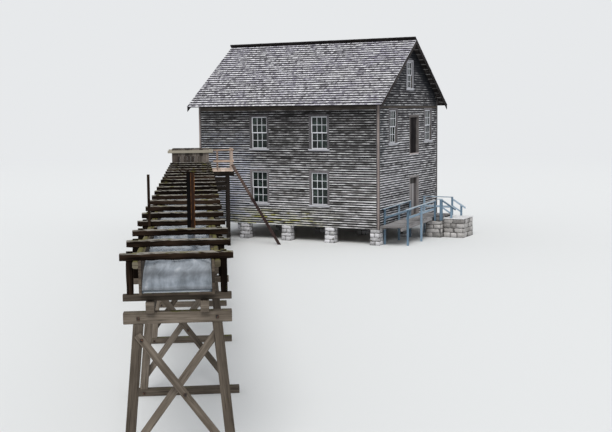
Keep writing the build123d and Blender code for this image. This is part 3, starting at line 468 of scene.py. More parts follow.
# What else the woods have; plainWood holds what most of them share
plainWood = {"along": "uv", "across": 1.0, "gloss": 0.12, "layers": []}
bandMoss = moss(0.10, (0.14, 0.14, 0.04), 3.0)
sillShades = [shadeBetween("z", z - 0.105, z, (0.66, 0.67, 0.72), 0.72, z == windows["gableZ"])
              for z in (*windows["frontZ"], windows["gableZ"], windows["attic"][1])]
woodExtras = {
    "wallBack": {"along": "x"}, "floorBoards": {"along": "x"}, "log": {"across": 0.5, "gloss": 0.06},
    "barge": {"gloss": 0.05}, "darkLeaf": {"gloss": 0.04}, "stem": {"gloss": 0.03, "layers": [stemTint]},
    "longSiding": {"layers": [longWallTint, lapShadeAndDirt(boardLap, 0.985, 0.95, (2.6, 5.4, 0.24))]},
    "gableSiding": {"layers": [gableTint, lapShadeAndDirt(boardLap, 0.93, 0.95, (5.2, 7.0, 0.20)), roofShadow]},
    "shingle": {"layers": [roofTint, lapShadeAndDirt(shingleLap, 0.95, 0.95)]}, "cornerTrim": {"layers": [arrisTint]},
    "casing": {"layers": [shadeBetween("z", 4.4, 6.6, (0.05, 0.05, 0.056), 0.55),
                          shadeBetween("z", 7.4, 9.6, (0.36, 0.37, 0.41), 0.55), *sillShades]},
    # The entry leaf's dark top band and dark right strip are painted shade of the head and the reveal
    "entryLeaf": {"layers": [shadeBetween("z", 2.70, 3.2, (0.02, 0.018, 0.016), 0.85),
                             shadeBetween("y", 4.80, 5.2, (0.03, 0.022, 0.022), 0.80)]},
    # Yokes: topLight paints light on their tops
    "yoke": {"gloss": 0.03,
             "layers": [topLight((0.34, 0.32, 0.285), 0.78), moss(0.12, (0.17, 0.155, 0.035), 4.0)]},
    "sideRail": {"layers": [moss(0.36, (0.175, 0.16, 0.055), 3.2, 0.9)]},
    "trough": {"layers": [moss(0.20, (0.19, 0.18, 0.04), 3.5)]}, "trestle": {"layers": [bandMoss]},
    "penstock": {"layers": [moss(0.05, (0.15, 0.16, 0.04), 2.5)]},
    "penstockBand": {"layers": [bandMoss, shadeBetween("z", 4.40, 4.8, (0.40, 0.37, 0.30), 0.7)]},
    # Posts are near black below the deck: painted shade under the platform
    "platformPost": {"layers": [shadeBetween("z", -1.0, 3.62, (0.010, 0.008, 0.007), 0.96)]},
    "propBoard": {"layers": [shadeBetween("z", -1.0, 2.3, (0.022, 0.012, 0.013), 0.72)]},
    # Rails: topLight paints light on their tops
    "blueGrey": {"layers": [topLight((0.60, 0.63, 0.65), 0.70)]},
}

# Stones: three shades and the crust of lichen; water and glass: where their shades stand, and the shades
stoneLooks = {
    "fieldstone": ([(0.17, 0.165, 0.17), (0.52, 0.515, 0.53), (0.76, 0.75, 0.78)], (0.42, 0.43, 0.37)),
    "entryStone": ([(0.10, 0.094, 0.090), (0.32, 0.305, 0.295), (0.58, 0.56, 0.55)], (0.40, 0.40, 0.34)),
    "stoneCore": ([(0.045, 0.042, 0.04), (0.12, 0.115, 0.11), (0.24, 0.23, 0.22)], (0.12, 0.125, 0.10))}
waterLook = {"places": (0.32, 0.46, 0.58, 0.72), "deep": (0.045, 0.060, 0.075),
             "shades": [(0.045, 0.055, 0.066), (0.15, 0.178, 0.21), (0.27, 0.305, 0.35), (0.56, 0.59, 0.63)]}
glassLook = {"places": (0.35, 0.55, 0.75), "shades": [(0.006, 0.008, 0.008), (0.016, 0.024, 0.022),
                                                     (0.05, 0.075, 0.065)]}


def stone(start, shades, crust):
    # Fieldstone: each stone's own grey, mottled, with a crust of lichen
    spot = objectPlace(start)
    grainy, cloud = noise(spot, 24.0, 5.0, 0.7), noise(spot, 4.5, 4.0)
    value = grainy * 0.45 + cloud * 0.35 + ownTone(start) * 0.30 - 0.02
    patch = between(noise(spot, 7.0, 5.0), 0.60, 0.70)
    return {"Base Color": blend(patch * 0.6, ramp(value, (0.25, 0.5, 0.75), shades), crust),
            "Roughness": roughFrom(grainy, 0.75), "Normal": bump(grainy * 0.6 + cloud, 0.7, 0.012)}


def water(start):
    # Fast water that looks silky: pale streaks along the run over a grey-blue body
    u, v = grainPlace(start)
    bend = noise(join(u * 0.9, v * 1.4, 3.0), 1.0)
    silk = noise(join(u * 0.8, v * 7.0 + bend * 3.5, 1.0), 1.0, 4.0)
    fold = noise(join(u * 2.2 + bend * 2.5, v * 2.4, 7.0), 1.0)
    value = silk * 0.5 + fold * 0.5
    colour = ramp(value, waterLook["places"], waterLook["shades"])
    return {"Base Color": blend(1.0 - ownTone(start) * 2.0, colour, waterLook["deep"]), "Roughness": 0.22,
            "Normal": bump(value, 0.35, 0.03)}


def glass(start):
    # Old panes: a dark base colour, painted shade of the dark rooms behind, a green cast, and a waviness that
    # breaks up reflections
    wave = noise(objectPlace(start), 3.0, 2.0)
    return {"Base Color": ramp(wave, glassLook["places"], glassLook["shades"]), "Roughness": 0.12,
            "Specular IOR Level": 0.22, "Normal": bump(wave, 0.12, 0.01)}


def iron(start):
    rust = between(noise(objectPlace(start), 30.0, 5.0), 0.45, 0.62)
    return {"Base Color": blend(rust, (0.025, 0.023, 0.022), (0.12, 0.05, 0.025)), "Roughness": rust * 0.35 + 0.5,
            "Metallic": 0.7 - rust * 0.6}


finishes = {name: newFinish(name, wood, name) for name in woods}
for name, look in stoneLooks.items():
    finishes[name] = newFinish(name, stone, *look)
for name, build in (("water", water), ("paneGlass", glass), ("rustyIron", iron)):
    finishes[name] = newFinish(name, build)
print("finishes made:", len(finishes))


# A timber's wander: turns of its three sines in bendReach metres, and their weights
bendTurns, bendWeights, bendReach = np.array([0.31, 0.83, 1.7]), np.array([1.0, 0.6, 0.35]), 2.4


def boxSection(wide, thick, corner=0.0):
    # A rectangle about the axis, its corners cut back
    w, t, k = wide / 2, thick / 2, corner
    if not corner:
        return np.array([(-w, -t), (w, -t), (w, t), (-w, t)])
    return np.array([(-w + k, -t), (w - k, -t), (w, -t + k), (w, t - k), (w - k, t), (-w + k, t), (-w, t - k),
                     (-w, -t + k)])


def sticks(frame, starts, ends, outs, sections, stations=2, girth=(1.0,), wander=0.0, rough=0.0,
           shear=(0.0, 0.0), seed=1, shades=(0.0, 1.0), slip=0.0):
    # Many timbers at once; starts and ends are (x, y, z) and outs a way, all in the frame, and sections are arrays
    # or a box's sizes. Each timber is a surface of two parameters: s along it and k round its section.
    # point(s, k) = start + axis*(s*length + c*shear(s)) + across*c*girth(s) + out*o*girth(s) + bend(s) + jitter,
    # with (c, o) the section's k-th point, across = out x axis, and bend three sines of s with phases of its own
    chance = np.random.default_rng(seed)
    starts, ends = np.broadcast_arrays(*np.atleast_2d(inFrame(frame, *starts), inFrame(frame, *ends)))
    count = len(starts)
    outs = np.broadcast_to(np.asarray(outs, float) @ np.array(frame[1:], float), (count, 3))
    sections = np.asarray(boxSection(*sections) if np.ndim(sections) == 1 else sections, float)
    sections = np.broadcast_to(sections, (count, *sections.shape[-2:]))
    rim = sections.shape[1]
    size = np.linalg.norm(ends - starts, axis=1)
    axis = (ends - starts) / size[:, None]
    outs = outs - (outs * axis).sum(1)[:, None] * axis
    outs = outs / np.linalg.norm(outs, axis=1)[:, None]
    across = np.cross(outs, axis)
    s = np.linspace(0.0, 1.0, stations)
    girth = np.interp(s, np.linspace(0, 1, len(girth)), girth)[None, :, None]
    c, o = sections[:, None, :, 0] * girth, sections[:, None, :, 1] * girth
    lean0, lean1 = (np.broadcast_to(np.asarray(value, float), (count,))[:, None] for value in shear)
    along = s[None, :, None] * size[:, None, None] + c * (lean0 * (1 - s) + lean1 * s)[:, :, None]
    phase = chance.uniform(0, 1, (2, 3, count, 1))
    turns = bendTurns[:, None, None] * size[None, :, None] / bendReach * s[None, None, :]
    bend = wander * (np.sin(2 * np.pi * (turns + phase)) * bendWeights[:, None, None]).sum(1) / 1.4
    shift = chance.normal(0.0, 1.0, (2, count, stations, rim)) * rough
    spots = (starts[:, None, None] + axis[:, None, None] * along[..., None]
             + across[:, None, None] * (c + bend[0][:, :, None] + shift[0])[..., None]
             + outs[:, None, None] * (o + bend[1][:, :, None] + shift[1])[..., None])
    grid = np.arange(count * stations * rim).reshape(count, stations, rim)
    turned = np.roll(grid, -1, 2)
    quads = np.stack([grid[:, :-1], turned[:, :-1], turned[:, 1:], grid[:, 1:]], -1)
    caps = np.concatenate([grid[:, 0, ::-1], grid[:, -1]])
    edge = np.linalg.norm(np.roll(sections, -1, 1) - sections, axis=2)
    lap = np.concatenate([np.zeros((count, 1)), np.cumsum(edge, 1)], 1) + np.reshape(slip, (-1, 1))
    slide = chance.uniform(0, 9, count)[:, None]
    u = along + slide[:, :, None]
    ahead = np.roll(u, -1, 2)
    v0, v1 = (np.broadcast_to(side[:, None], (count, stations - 1, rim)) for side in (lap[:, :-1], lap[:, 1:]))
    sideUv = np.stack([np.stack(pair, -1) for pair in ((u[:, :-1], v0), (ahead[:, :-1], v1), (ahead[:, 1:], v1),
                                                       (u[:, 1:], v0))], -2)
    capUv = np.stack([sections[..., 0] * 0.4 + slide, sections[..., 1]], -1)
    capUv = np.concatenate([capUv[:, ::-1], capUv])
    tone = np.repeat(chance.uniform(*shades, count), stations * rim)
    return {"points": spots.reshape(-1, 3), "quads": quads.reshape(-1, 4), "caps": caps,
            "quadUv": sideUv.reshape(-1, 2), "capUv": capUv.reshape(-1, 2), "tone": tone}


def sectionsOf(*corners):
    # A section for each timber, from one pair of arrays (c, o) for each of its corners
    return np.stack([np.stack(corner, -1) for corner in corners], 1)


def newMesh(name, spots, faces, uv, tone):
    # A mesh with its grain UV and its tone attribute
    mesh = bpy.data.meshes.new(name)
    mesh.from_pydata(spots.tolist(), [], faces)
    mesh.uv_layers.new(name="grain").data.foreach_set("uv", uv.astype(np.float32).ravel())
    mesh.attributes.new("tone", "FLOAT", "POINT").data.foreach_set("value", tone.astype(np.float32))
    return mesh


def addPiece(name, mesh, finish, body, stands):
    # The mesh as a piece: its finish, the nodes that it stands for and its body
    piece = newObject(name, mesh)
    mesh.materials.append(finishes[finish])
    if stands:
        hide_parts(*stands)
    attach(piece, body)
    return piece


def setPiece(name, shapes, finish, body="mill", stands=(), smooth=False):
    # One piece from the arrays of several shapes
    faces, uv, start = [], [], 0
    for shape in shapes:
        for faceKey, uvKey in (("quads", "quadUv"), ("caps", "capUv")):
            if len(shape[faceKey]):
                faces += (shape[faceKey] + start).tolist()
                uv.append(shape[uvKey])
        start += len(shape["points"])
    mesh = newMesh(name, np.concatenate([shape["points"] for shape in shapes]), faces, np.concatenate(uv),
                   np.concatenate([shape["tone"] for shape in shapes]))
    if smooth:
        mesh.polygons.foreach_set("use_smooth", np.ones(len(mesh.polygons), bool))
    mesh.update()
    addPiece(name, mesh, finish, body, stands)


def wornCopy(node, finish, slotName, body="mill", wear=0.006):
    # A copy of a node's timbers, merged, with grain UV along each timber's longest way, and worn edges
    mesh = nodes[node].data
    spots = np.empty(len(mesh.vertices) * 3)
    mesh.vertices.foreach_get("co", spots)
    spots = spots.reshape(-1, 3)
    mesh.calc_loop_triangles()
    corners = np.empty(len(mesh.loop_triangles) * 3, int)
    mesh.loop_triangles.foreach_get("vertices", corners)
    rounded = np.round(spots * 1e5).astype(np.int64)
    _, first, same = np.unique(rounded, axis=0, return_index=True, return_inverse=True)
    spots, tris = spots[first], same.reshape(-1)[corners].reshape(-1, 3)
    a, b, c = tris.T
    tris = tris[(a != b) & (b != c) & (a != c)]
    solid, before = np.arange(len(spots)), None
    while before is None or (solid != before).any():  # each solid takes its lowest vertex number
        before, low = solid, solid[tris].min(1)
        solid = solid.copy()
        for k in range(3):
            np.minimum.at(solid, tris[:, k], low)
        solid = solid[solid]
    chance = np.random.default_rng(sum(map(ord, node)))
    tone, uv = np.zeros(len(spots)), np.zeros((len(tris), 3, 2))
    a, b, c = spots[tris].swapaxes(0, 1)
    normals = np.cross(b - a, c - a)
    normals /= np.linalg.norm(normals, axis=1)[:, None] + 1e-12
    for label in np.unique(solid):
        own = solid == label
        mine, middle = own[tris[:, 0]], spots[own].mean(0)
        _, axes = np.linalg.eigh(np.cov((spots[own] - middle).T) + np.eye(3) * 1e-9)
        side = np.cross(normals[mine], axes[:, 2])
        width = np.linalg.norm(side, axis=1)[:, None]
        side = np.where(width > 0.3, side / (width + 1e-12), axes[:, 1])
        way = np.where(width > 0.3, axes[:, 2], axes[:, 0])
        at = spots[tris[mine]] - middle
        uv[mine] = np.stack([(at * line[:, None]).sum(-1) for line in (way, side)], -1) + chance.uniform(0, 9, 2)
        tone[own] = chance.uniform(0.0, 1.0)
    made = newMesh(node + "_worn", spots, tris.tolist(), uv, tone)
    work = bmesh.new()
    work.from_mesh(made)
    bmesh.ops.dissolve_limit(work, angle_limit=0.02, verts=work.verts, edges=work.edges, delimit={"UV"})
    work.to_mesh(made)
    work.free()
    piece = addPiece(node + "_worn", made, finish, body, (node,))
    if wear:
        bevel = piece.modifiers.new("wear", "BEVEL")
        bevel.width, bevel.segments, bevel.limit_method, bevel.angle_limit = wear, 1, "ANGLE", math.radians(40)


def dress(finish, *names):
    # Nodes of the CAD that show as they are, with one of the finishes
    for name in names:
        nodes[name].data.materials.clear()
        nodes[name].data.materials.append(finishes[finish])


# Walls: each has its frame (origin, along, outward, up), its span, its openings as (middle, foot, width, height),
# and a rake if its top follows the roof
boards = {"butt": 0.019, "foot": 0.008, "top": 0.008, "back": 0.002, "lengths": (2.0, 4.3), "sag": 0.004,
          "wander": 0.0030, "underCasing": 0.05, "underCorner": 0.06, "underBarge": 0.27, "frontTop": 6.88,
          "rakeTop": 9.95, "least": 0.02, "shortest": 0.5, "gap": 0.003}
doorHoles = [(4.53, 1.11, 1.10, 1.96), (4.53, 4.30, 1.10, 1.89)]
longHoles = [(x, z, *windows["size"]) for x in windows["frontX"] for z in windows["frontZ"]]
gableHoles = [(y, windows["gableZ"], *windows["size"]) for y in windows["gableY"]] + [windows["attic"]]


def wallSpec(originX, originY, alongX, alongY, low, high, holes):
    frame = ((originX, originY, 0), (alongX, alongY, 0), (alongY, -alongX, 0), (0, 0, 1))
    return {"frame": frame, "span": (low, high), "holes": holes, "rake": alongY != 0}


def mirrored(holes):
    return [(-mid, *rest) for mid, *rest in holes]


walls = {"front": wallSpec(0, 0, 1, 0, -house["length"], 0, longHoles),
         "back": wallSpec(0, house["width"], -1, 0, 0, house["length"], mirrored(longHoles)),
         "near": wallSpec(0, 0, 0, 1, 0, house["width"], gableHoles + doorHoles),
         "far": wallSpec(-house["length"], 0, 0, -1, -house["width"], 0, mirrored(gableHoles))}


def clapboards(wall, seed):
    # Courses of boards on one wall: each is a wedge, thick at its foot and thin at its top, cut at the openings
    # and along the rake, where a board's end leans by 1/slope for each metre up
    chance = np.random.default_rng(seed)
    spec, rows, high, tuck = walls[wall], [], boardLap["height"], boards["underCasing"]
    top = boards["rakeTop"] if spec["rake"] else boards["frontTop"]
    for z in np.arange(house["sidingFoot"] + 0.005, top, boardLap["exposure"]):
        lean, inset = 0.0, boards["underCorner"]
        if spec["rake"] and z + high > roofUnder(boards["underCorner"]):
            raked = (z + 0.004 - roofUnder(0.0)) / slope
            lean, inset = (1.0 / slope, raked + 0.01) if raked > 0 else (0.0, boards["underBarge"])
        a0, a1 = spec["span"][0] + inset, spec["span"][1] - inset
        cuts, fills = [], []
        for mid, low, wide, tall in spec["holes"]:
            h0, h1 = mid - wide / 2 - tuck, mid + wide / 2 + tuck
            z0, z1 = low - tuck - z, low + tall + tuck - z
            if z0 < high and z1 > 0:
                cuts.append((h0, h1))
                fills += [(h0, h1, z, c0, c1, 0.0, 0.0) for c0, c1 in ((0.0, z0), (z1, high))
                          if c1 - c0 > boards["least"]]
        runs, at = [], a0
        for h0, h1 in sorted(cuts) + [(a1, a1)]:
            if h0 > at:
                runs.append((at, h0))
            at = max(at, h1)
        for r0, r1 in runs:
            joints = [r0]
            while r1 - joints[-1] > boards["lengths"][1]:
                joints.append(joints[-1] + chance.uniform(*boards["lengths"]))
            if r1 - joints[-1] < boards["shortest"] and len(joints) > 1:
                joints.pop()
            joints.append(r1)
            for b0, b1 in zip(joints[:-1], joints[1:]):
                left, right = lean * (b0 == a0), -lean * (b1 == a1)
                if b1 - b0 > max(0.12, (left - right) * high + 0.03):
                    rows.append((b0 + boards["gap"] / 2, b1 - boards["gap"] / 2, z, 0.0, high, left, right))
        rows += fills
    b0, b1, z, c0, c1, left, right = np.array(rows).T
    drop = chance.uniform(-1, 1, (2, len(rows))) * boards["sag"]
    mid = (c0 + c1) / 2
    inner = [boards["foot"] + (boards["back"] - boards["foot"]) * c / high for c in (c0, c1)]
    outer = [boards["butt"] + (boards["top"] - boards["butt"]) * c / high for c in (c0, mid, c1)]
    sections = sectionsOf((c0, inner[0]), (c1, inner[1]), (c1, outer[2]), (mid, outer[1] + 0.001), (c0, outer[0]))
    return sticks(spec["frame"], (b0, 0, z + drop[0]), (b1, 0, z + drop[1]), (0, 1, 0), sections, stations=7,
                  wander=boards["wander"], shear=(left, right), seed=seed + 50,
                  slip=2 * high - 2 * (c1 - c0) - c0)


for wall, spec in walls.items():
    finish, slotName = ("gableSiding", "gable_siding") if spec["rake"] else ("longSiding", "long_wall_siding")
    setPiece("clapboards_" + wall, [clapboards(wall, 11 + len(wall))], finish)
dress("wallBack", "front_wall", "back_wall", "gable_walls", "gable_walls_over_doors", "gable_peak",
      "far_gable_wall")
print("walls boarded")

# Roof: boards under split shingles, and laths under the verges
roofLook = {"widths": (0.09, 0.19), "butt": 0.022, "tail": 0.006, "gap": 0.004, "ragged": 0.012, "deckTop": 0.046,
            "deckBoards": (28, 29), "lathSpacing": 0.41, "lath": (0.055, 0.028), "verge": 0.008}


def roofSide(way):
    # Frame of one slope (eave's start, along the house, up the slope, outward) and its length; way is 1 for the
    # front slope, whose top ends under the other, and -1 for the back one, which runs on past the ridge
    cos, sin = math.cos(math.radians(house["pitch"])), math.sin(math.radians(house["pitch"]))
    half, over = house["width"] / 2, house["eaveOver"]
    past = house["comb"] - house["slab"] * slope if way < 0 else -house["slab"] / (2 * slope * cos * cos)
    eave = (0, half - way * (half + over), house["eaveTop"])
    return (eave, (1, 0, 0), (0, way * cos, sin), (0, -way * sin, cos)), (half + over) / cos + past


def shingles(way, seed):
    # Shingles of one slope: wedges laid in courses, butt out and tail down to the boards, each its own width
    chance = np.random.default_rng(seed)
    frame, size = roofSide(way)
    x0, x1 = -house["length"] - house["vergeOver"] + roofLook["verge"], house["vergeOver"] - roofLook["verge"]
    rows, long, tail = [], shingleLap["height"], roofLook["tail"]
    for course in np.arange(0.004, size - 0.03, shingleLap["exposure"]):
        widths = chance.uniform(*roofLook["widths"], 110)
        edges = x0 - chance.uniform(0, 0.1) + np.cumsum(widths)
        edges = np.concatenate([[x0], edges[(edges > x0 + 0.05) & (edges < x1 - 0.05)], [x1]])
        base = course + chance.uniform(0, roofLook["ragged"], len(edges) - 1) * (course > 0.01)
        rows.append([edges[:-1], edges[1:], base, np.full(len(base), min(long, size - 0.004 - course))])
    left, right, base, reach = np.concatenate(rows, axis=1)
    reach = np.minimum(reach, size - 0.003 - base)
    start, end = (left + roofLook["gap"] / 2, right - roofLook["gap"] / 2)[::way]
    bent = base + chance.uniform(-0.001, 0.001, len(base))
    sink = -0.001 - chance.uniform(0, 0.009, len(base))
    far = sink + (tail - roofLook["deckTop"] - sink) * reach / long
    foot = np.zeros(len(base))
    sections = sectionsOf((foot, sink - roofLook["butt"]), (reach, far - tail), (reach, far), (foot, sink))
    laid = sticks(frame, (start, base, 0), (end, bent, 0), (0, 0, 1), sections, seed=seed + 3,
                  slip=2 * (long - reach))
    laid["capUv"][:, 1] += 2 * long  # their ends along the verges take the pale lower-edge colour, partly wear and partly painted highlight
    return laid


def roofDeck(way):
    # Sheathing boards up the slope, under the shingles, and the laths that show under each verge
    frame, size = roofSide(way)
    x0, x1 = -house["length"] - house["vergeOver"], house["vergeOver"]
    top, low = roofLook["deckTop"], -house["slab"] - roofLook["lath"][1] / 2
    thick = house["slab"] - top - 0.002
    mids, wide = evenly(0.0, size - 0.02, roofLook["deckBoards"][way < 0])
    start, end = (x0 + 0.005, x1 - 0.005)[::way]
    deck = sticks(frame, (start, mids, -top - thick / 2), (end, mids, -top - thick / 2), (0, 0, 1),
                  (wide - 0.006, thick), stations=9, seed=5)
    laths, places = [], np.arange(0.35, size - house["comb"] - 0.2, roofLook["lathSpacing"])
    for reach in ((0.03, x1 - 0.052), (x0 + 0.052, -house["length"] - 0.03)):
        start, end = reach[::way]
        laths.append(sticks(frame, (start, places, low), (end, places, low), (0, 0, 1), roofLook["lath"],
                            stations=3, wander=0.003, seed=8))
    return deck, laths


lathShapes = []
for way, node, seed in ((1, "roof_front", 21), (-1, "roof_back", 22)):
    deck, laths = roofDeck(way)
    setPiece(node + "_boards", [deck], "barge", stands=(node,))
    setPiece(node + "_shingles", [shingles(way, seed)], "shingle")
    lathShapes += laths
setPiece("verge_laths", lathShapes, "greyBoard")
wornCopy("barge_boards", "barge", "casing_wood", wear=0.004)
wornCopy("rafters", "oldTimber", "old_timber", wear=0)
print("roof shingled")

# Windows: the lower sash stands behind the upper one
sashes = {"frame": 0.048, "bar": 0.024, "depth": 0.026, "columns": 3, "lowerFace": 0.066, "upperFace": 0.030,
          "thick": 0.034}
# Door leaves: boards, ledges on their inner side, and each leaf as (from y, to y, foot, top, its ledges' feet)
leaf = {"face": -0.085, "thick": 0.045, "boards": 6, "uneven": 0.004, "gap": 0.004, "ledgeFace": -0.13,
        "ledge": (0.12, 0.022), "ledgeIn": 0.05, "entry": (4.025, 5.035, 1.115, 3.005, (1.2, 1.985, 2.77)),
        "upper": (4.02, 5.04, 4.3, 6.13, (4.39, 5.14, 5.89))}
loadingSill = {"from": (0.024, 3.93, 4.264), "to": (0.024, 5.13, 4.264), "section": (0.046, 0.058, 0.006)}


def glazingBars():
    # Three panes by two in each sash: uprights and one cross bar, seated in the sash's thickness
    starts, ends, outs, bar = [], [], [], sashes["frame"]
    for spec in walls.values():
        frame = spec["frame"]
        for mid, low, wide, tall in (hole for hole in spec["holes"] if hole not in doorHoles):
            half, middle = wide / 2 - bar, low + tall / 2
            x = mid - half + 2 * half * np.arange(1, sashes["columns"]) / sashes["columns"]
            for z0, z1, face in ((low + bar, middle - bar / 2, "lowerFace"),
                                 (middle + bar / 2, low + tall - bar, "upperFace")):
                depth = -(sashes[face] + sashes["thick"] / 2)
                for line, z, side in ((starts, z0, -1), (ends, z1, 1)):
                    line += [*inFrame(frame, x, depth, z), inFrame(frame, mid + side * half, depth, (z0 + z1) / 2)]
                outs += [frame[2]] * sashes["columns"]
    return sticks(world, np.transpose(starts), np.transpose(ends), outs, (sashes["bar"], sashes["depth"], 0.005),
                  seed=31)


def boardedLeaf(y0, y1, z0, z1, ledgeFeet, seed):
    # A door leaf of upright boards with narrow gaps, their faces slightly out of line, and its ledges
    chance = np.random.default_rng(seed)
    mids, wide = evenly(y0, y1, leaf["boards"])
    x = leaf["face"] - leaf["thick"] / 2 - chance.uniform(0, leaf["uneven"], leaf["boards"])
    upright = sticks(world, (x, mids, z0), (x, mids, z1), (1, 0, 0),
                     (wide - leaf["gap"], leaf["thick"] - 0.004, 0.003), stations=5, seed=seed)
    tall, thick = leaf["ledge"]
    x, z = leaf["ledgeFace"] - thick / 2, np.array(ledgeFeet) + tall / 2
    ledges = sticks(world, (x, y0 + leaf["ledgeIn"], z), (x, y1 - leaf["ledgeIn"], z), (-1, 0, 0),
                    (tall, thick, 0.004), seed=seed + 1)
    return [upright, ledges]


setPiece("glazing_bars", [glazingBars()], "sash")
wornCopy("window_sashes", "sash", "sash_paint", wear=0.003)
wornCopy("window_casings", "casing", "casing_wood", wear=0.004)
wornCopy("door_frames", "doorFrame", "casing_wood", wear=0.004)
wornCopy("corner_boards", "cornerTrim", "brown_trim", wear=0.003)
wornCopy("frieze_and_belt_boards", "darkTrim", "brown_trim", wear=0.003)
setPiece("entry_leaf", boardedLeaf(*leaf["entry"], 41), "entryLeaf", body="entry_door",
         stands=("entry_door",))
setPiece("upper_leaf", boardedLeaf(*leaf["upper"], 43), "darkLeaf", stands=("upper_door",))
dress("paneGlass", "window_glass")
dress("rustyIron", "door_straps", "door_pintles")
dress("floorBoards", "floors")
for node in ("long_sills", "floor_joists", "entry_sill"):
    wornCopy(node, "oldTimber", "old_timber", wear=0)
setPiece("loading_sill", [sticks(world, loadingSill["from"], loadingSill["to"], (0, 0, 1), loadingSill["section"],
                                 stations=6, rough=0.002, seed=45, shades=(0.6, 0.6))], "sillStick")
print("windows and doors dressed")

# Stonework: stones stand proud of the CAD's cores, and courses is the height of each course in a stack
stones = {"proud": 0.014, "corner": 0.024, "rough": 0.006, "joint": 0.004, "long": 0.62, "shifts": (0.05, 0.08),
          "swell": (0.89, 0.985, 1.0, 1.0, 0.985, 0.89)}
piers = {"rows": (0.2, 3.95, 7.7), "columns": 5, "first": -0.2, "spacing": 2.45, "half": 0.25, "batter": 0.03,
         "courses": ((0.2, 0.17, 0.22, 0.182), (0.17, 0.22, 0.19, 0.192), (0.23, 0.16, 0.2, 0.182))}
# The entry's stacks as (from x, to x, from y, to y, courses, stones across, batter)
entryStacks = ((0.8, 1.65, 4.1, 5.73, (0.24, 0.2, 0.22, 0.182), (2, 4), 0.012),
               (1.70, 2.75, 4.4, 5.9, (0.26, 0.22, 0.24, 0.222), (3, 4), 0.012))


def stoneStack(x0, x1, y0, y1, courses, across, batter, seed):
    # Rough blocks in courses that cross one another: in a course, stones lie side by side, and each is a rounded
    # box whose section swells from its ends to its middle
    chance = np.random.default_rng(seed)
    starts, ends, sections, z = [], [], [], 0.0
    for level, tall in enumerate(courses):
        pull = batter * (z + tall / 2) / sum(courses)
        a0, a1, b0, b1 = x0 + pull, x1 - pull, y0 + pull, y1 - pull
        if level % 2:
            a0, a1, b0, b1 = b0, b1, a0, a1
        count, proud, joint, shifts = across[level % 2], stones["proud"], stones["joint"], stones["shifts"]
        cuts = np.sort(np.linspace(a0, a1, count + 1)[1:-1] + chance.uniform(-shifts[0], shifts[0], count - 1))
        cuts = [a0 - proud, *cuts, a1 + proud]
        lengths = max(1, int(round((b1 - b0) / stones["long"])))
        for left, right in zip(cuts[:-1], cuts[1:]):
            splits = np.linspace(b0 - proud, b1 + proud, lengths + 1)
            splits[1:-1] += chance.uniform(-shifts[1], shifts[1], lengths - 1)
            for s0, s1 in zip(splits[:-1], splits[1:]):
                for line, s in ((starts, s0 + 0.003), (ends, s1 - 0.003)):
                    mid, high = (left + right) / 2, z + tall / 2
                    line.append((s, mid, high) if level % 2 else (mid, s, high))
                sections.append(boxSection(right - left - joint, tall - joint, stones["corner"]))
        z += tall
    stack = sticks(world, np.transpose(starts), np.transpose(ends), (0, 0, 1), sections, stations=6,
                   rough=stones["rough"], seed=seed, girth=stones["swell"])
    stack["points"][:, 2] = np.maximum(stack["points"][:, 2], 0.001)
    return stack


pierStones, half = [], piers["half"]
for row, y in enumerate(piers["rows"]):
    for column in range(piers["columns"]):
        x = piers["first"] - column * piers["spacing"]
        pierStones.append(stoneStack(x - half, x + half, y - half, y + half, piers["courses"][(row + column) % 3],
                                     (2, 2), piers["batter"], 100 + row * 5 + column))
setPiece("pier_stones", pierStones, "fieldstone", smooth=True)
setPiece("entry_stones", [stoneStack(*stack, 130 + k) for k, stack in enumerate(entryStacks)], "entryStone",
         smooth=True)
dress("stoneCore", "stone_piers", "entry_stonework")
print("stones laid")

# Flume: sections are (width, thickness, corner)
yokes = {"half": 0.99, "beam": (0.178, 0.128, 0.016), "beamSwell": [0.93] + [1.0] * 24 + [0.93], "hewn": 0.0035,
         "wander": 0.006, "post": (0.118, 0.118, 0.012), "tenon": (0.070, 0.108, 0.008), "tenonUp": 0.026,
         "shoulder": 0.02}
troughLook = {"floorPlanks": 6, "sidePlanks": 3, "gap": 0.004, "length": 3.6, "shortest": 1.0, "railLength": 5.4,
              "railWide": 0.100, "railTall": 0.118, "railOut": 0.053, "railCorner": 0.018}
# Waves as (height, turns along, turns across), the first a chevron; stretches of water as (upstream end,
# downstream end, half width, bottom, spacing of its rows, brink)
waterRuns = {"waves": ((0.010, 2.1, 5.0), (0.006, 4.7, -6.0), (0.005, 3.3, 9.0), (0.004, 9.0, 3.0)), "columns": 33,
             "rim": 0.05, "brinkDepth": 0.05, "penstock": (0.065, 1.535, 0.835, flume["water"] - 0.5, 0.05, 0.0),
             "flume": (0.03 - troughEnd, 0.055, flume["clear"] / 2 - 0.004,
                       flume["tieTop"] + flume["plank"] + 0.001, 0.11, 1.6)}
nuts = {"side": 0.055, "thick": 0.020, "braceOut": 0.135, "beamOut": 0.1, "braceLow": (0.904, 0.42),
        "braceHigh": (0.708, 2.62), "shares": (0.045, 0.5, 0.955), "beams": ((0.69, 2.9), (0.93, 0.08))}


def flumeRuns(across, low, high, thick, seed, length=troughLook["length"], wander=0.004, corner=0.004):
    # Planks along the trough at one place across it, butted end to end; across, low and high are their section
    joints = np.arange(0.0, troughEnd, length)
    joints = np.append(joints[joints < troughEnd - troughLook["shortest"]], troughEnd)
    middle, gap = (low + high) / 2, troughLook["gap"] / 2
    return sticks(flumeFrame, (across, gap - joints[1:], middle), (across, -joints[:-1] - gap, middle),
                  (0, 0, 1), (thick, high - low, corner), stations=10, wander=wander, rough=0.0012, seed=seed)


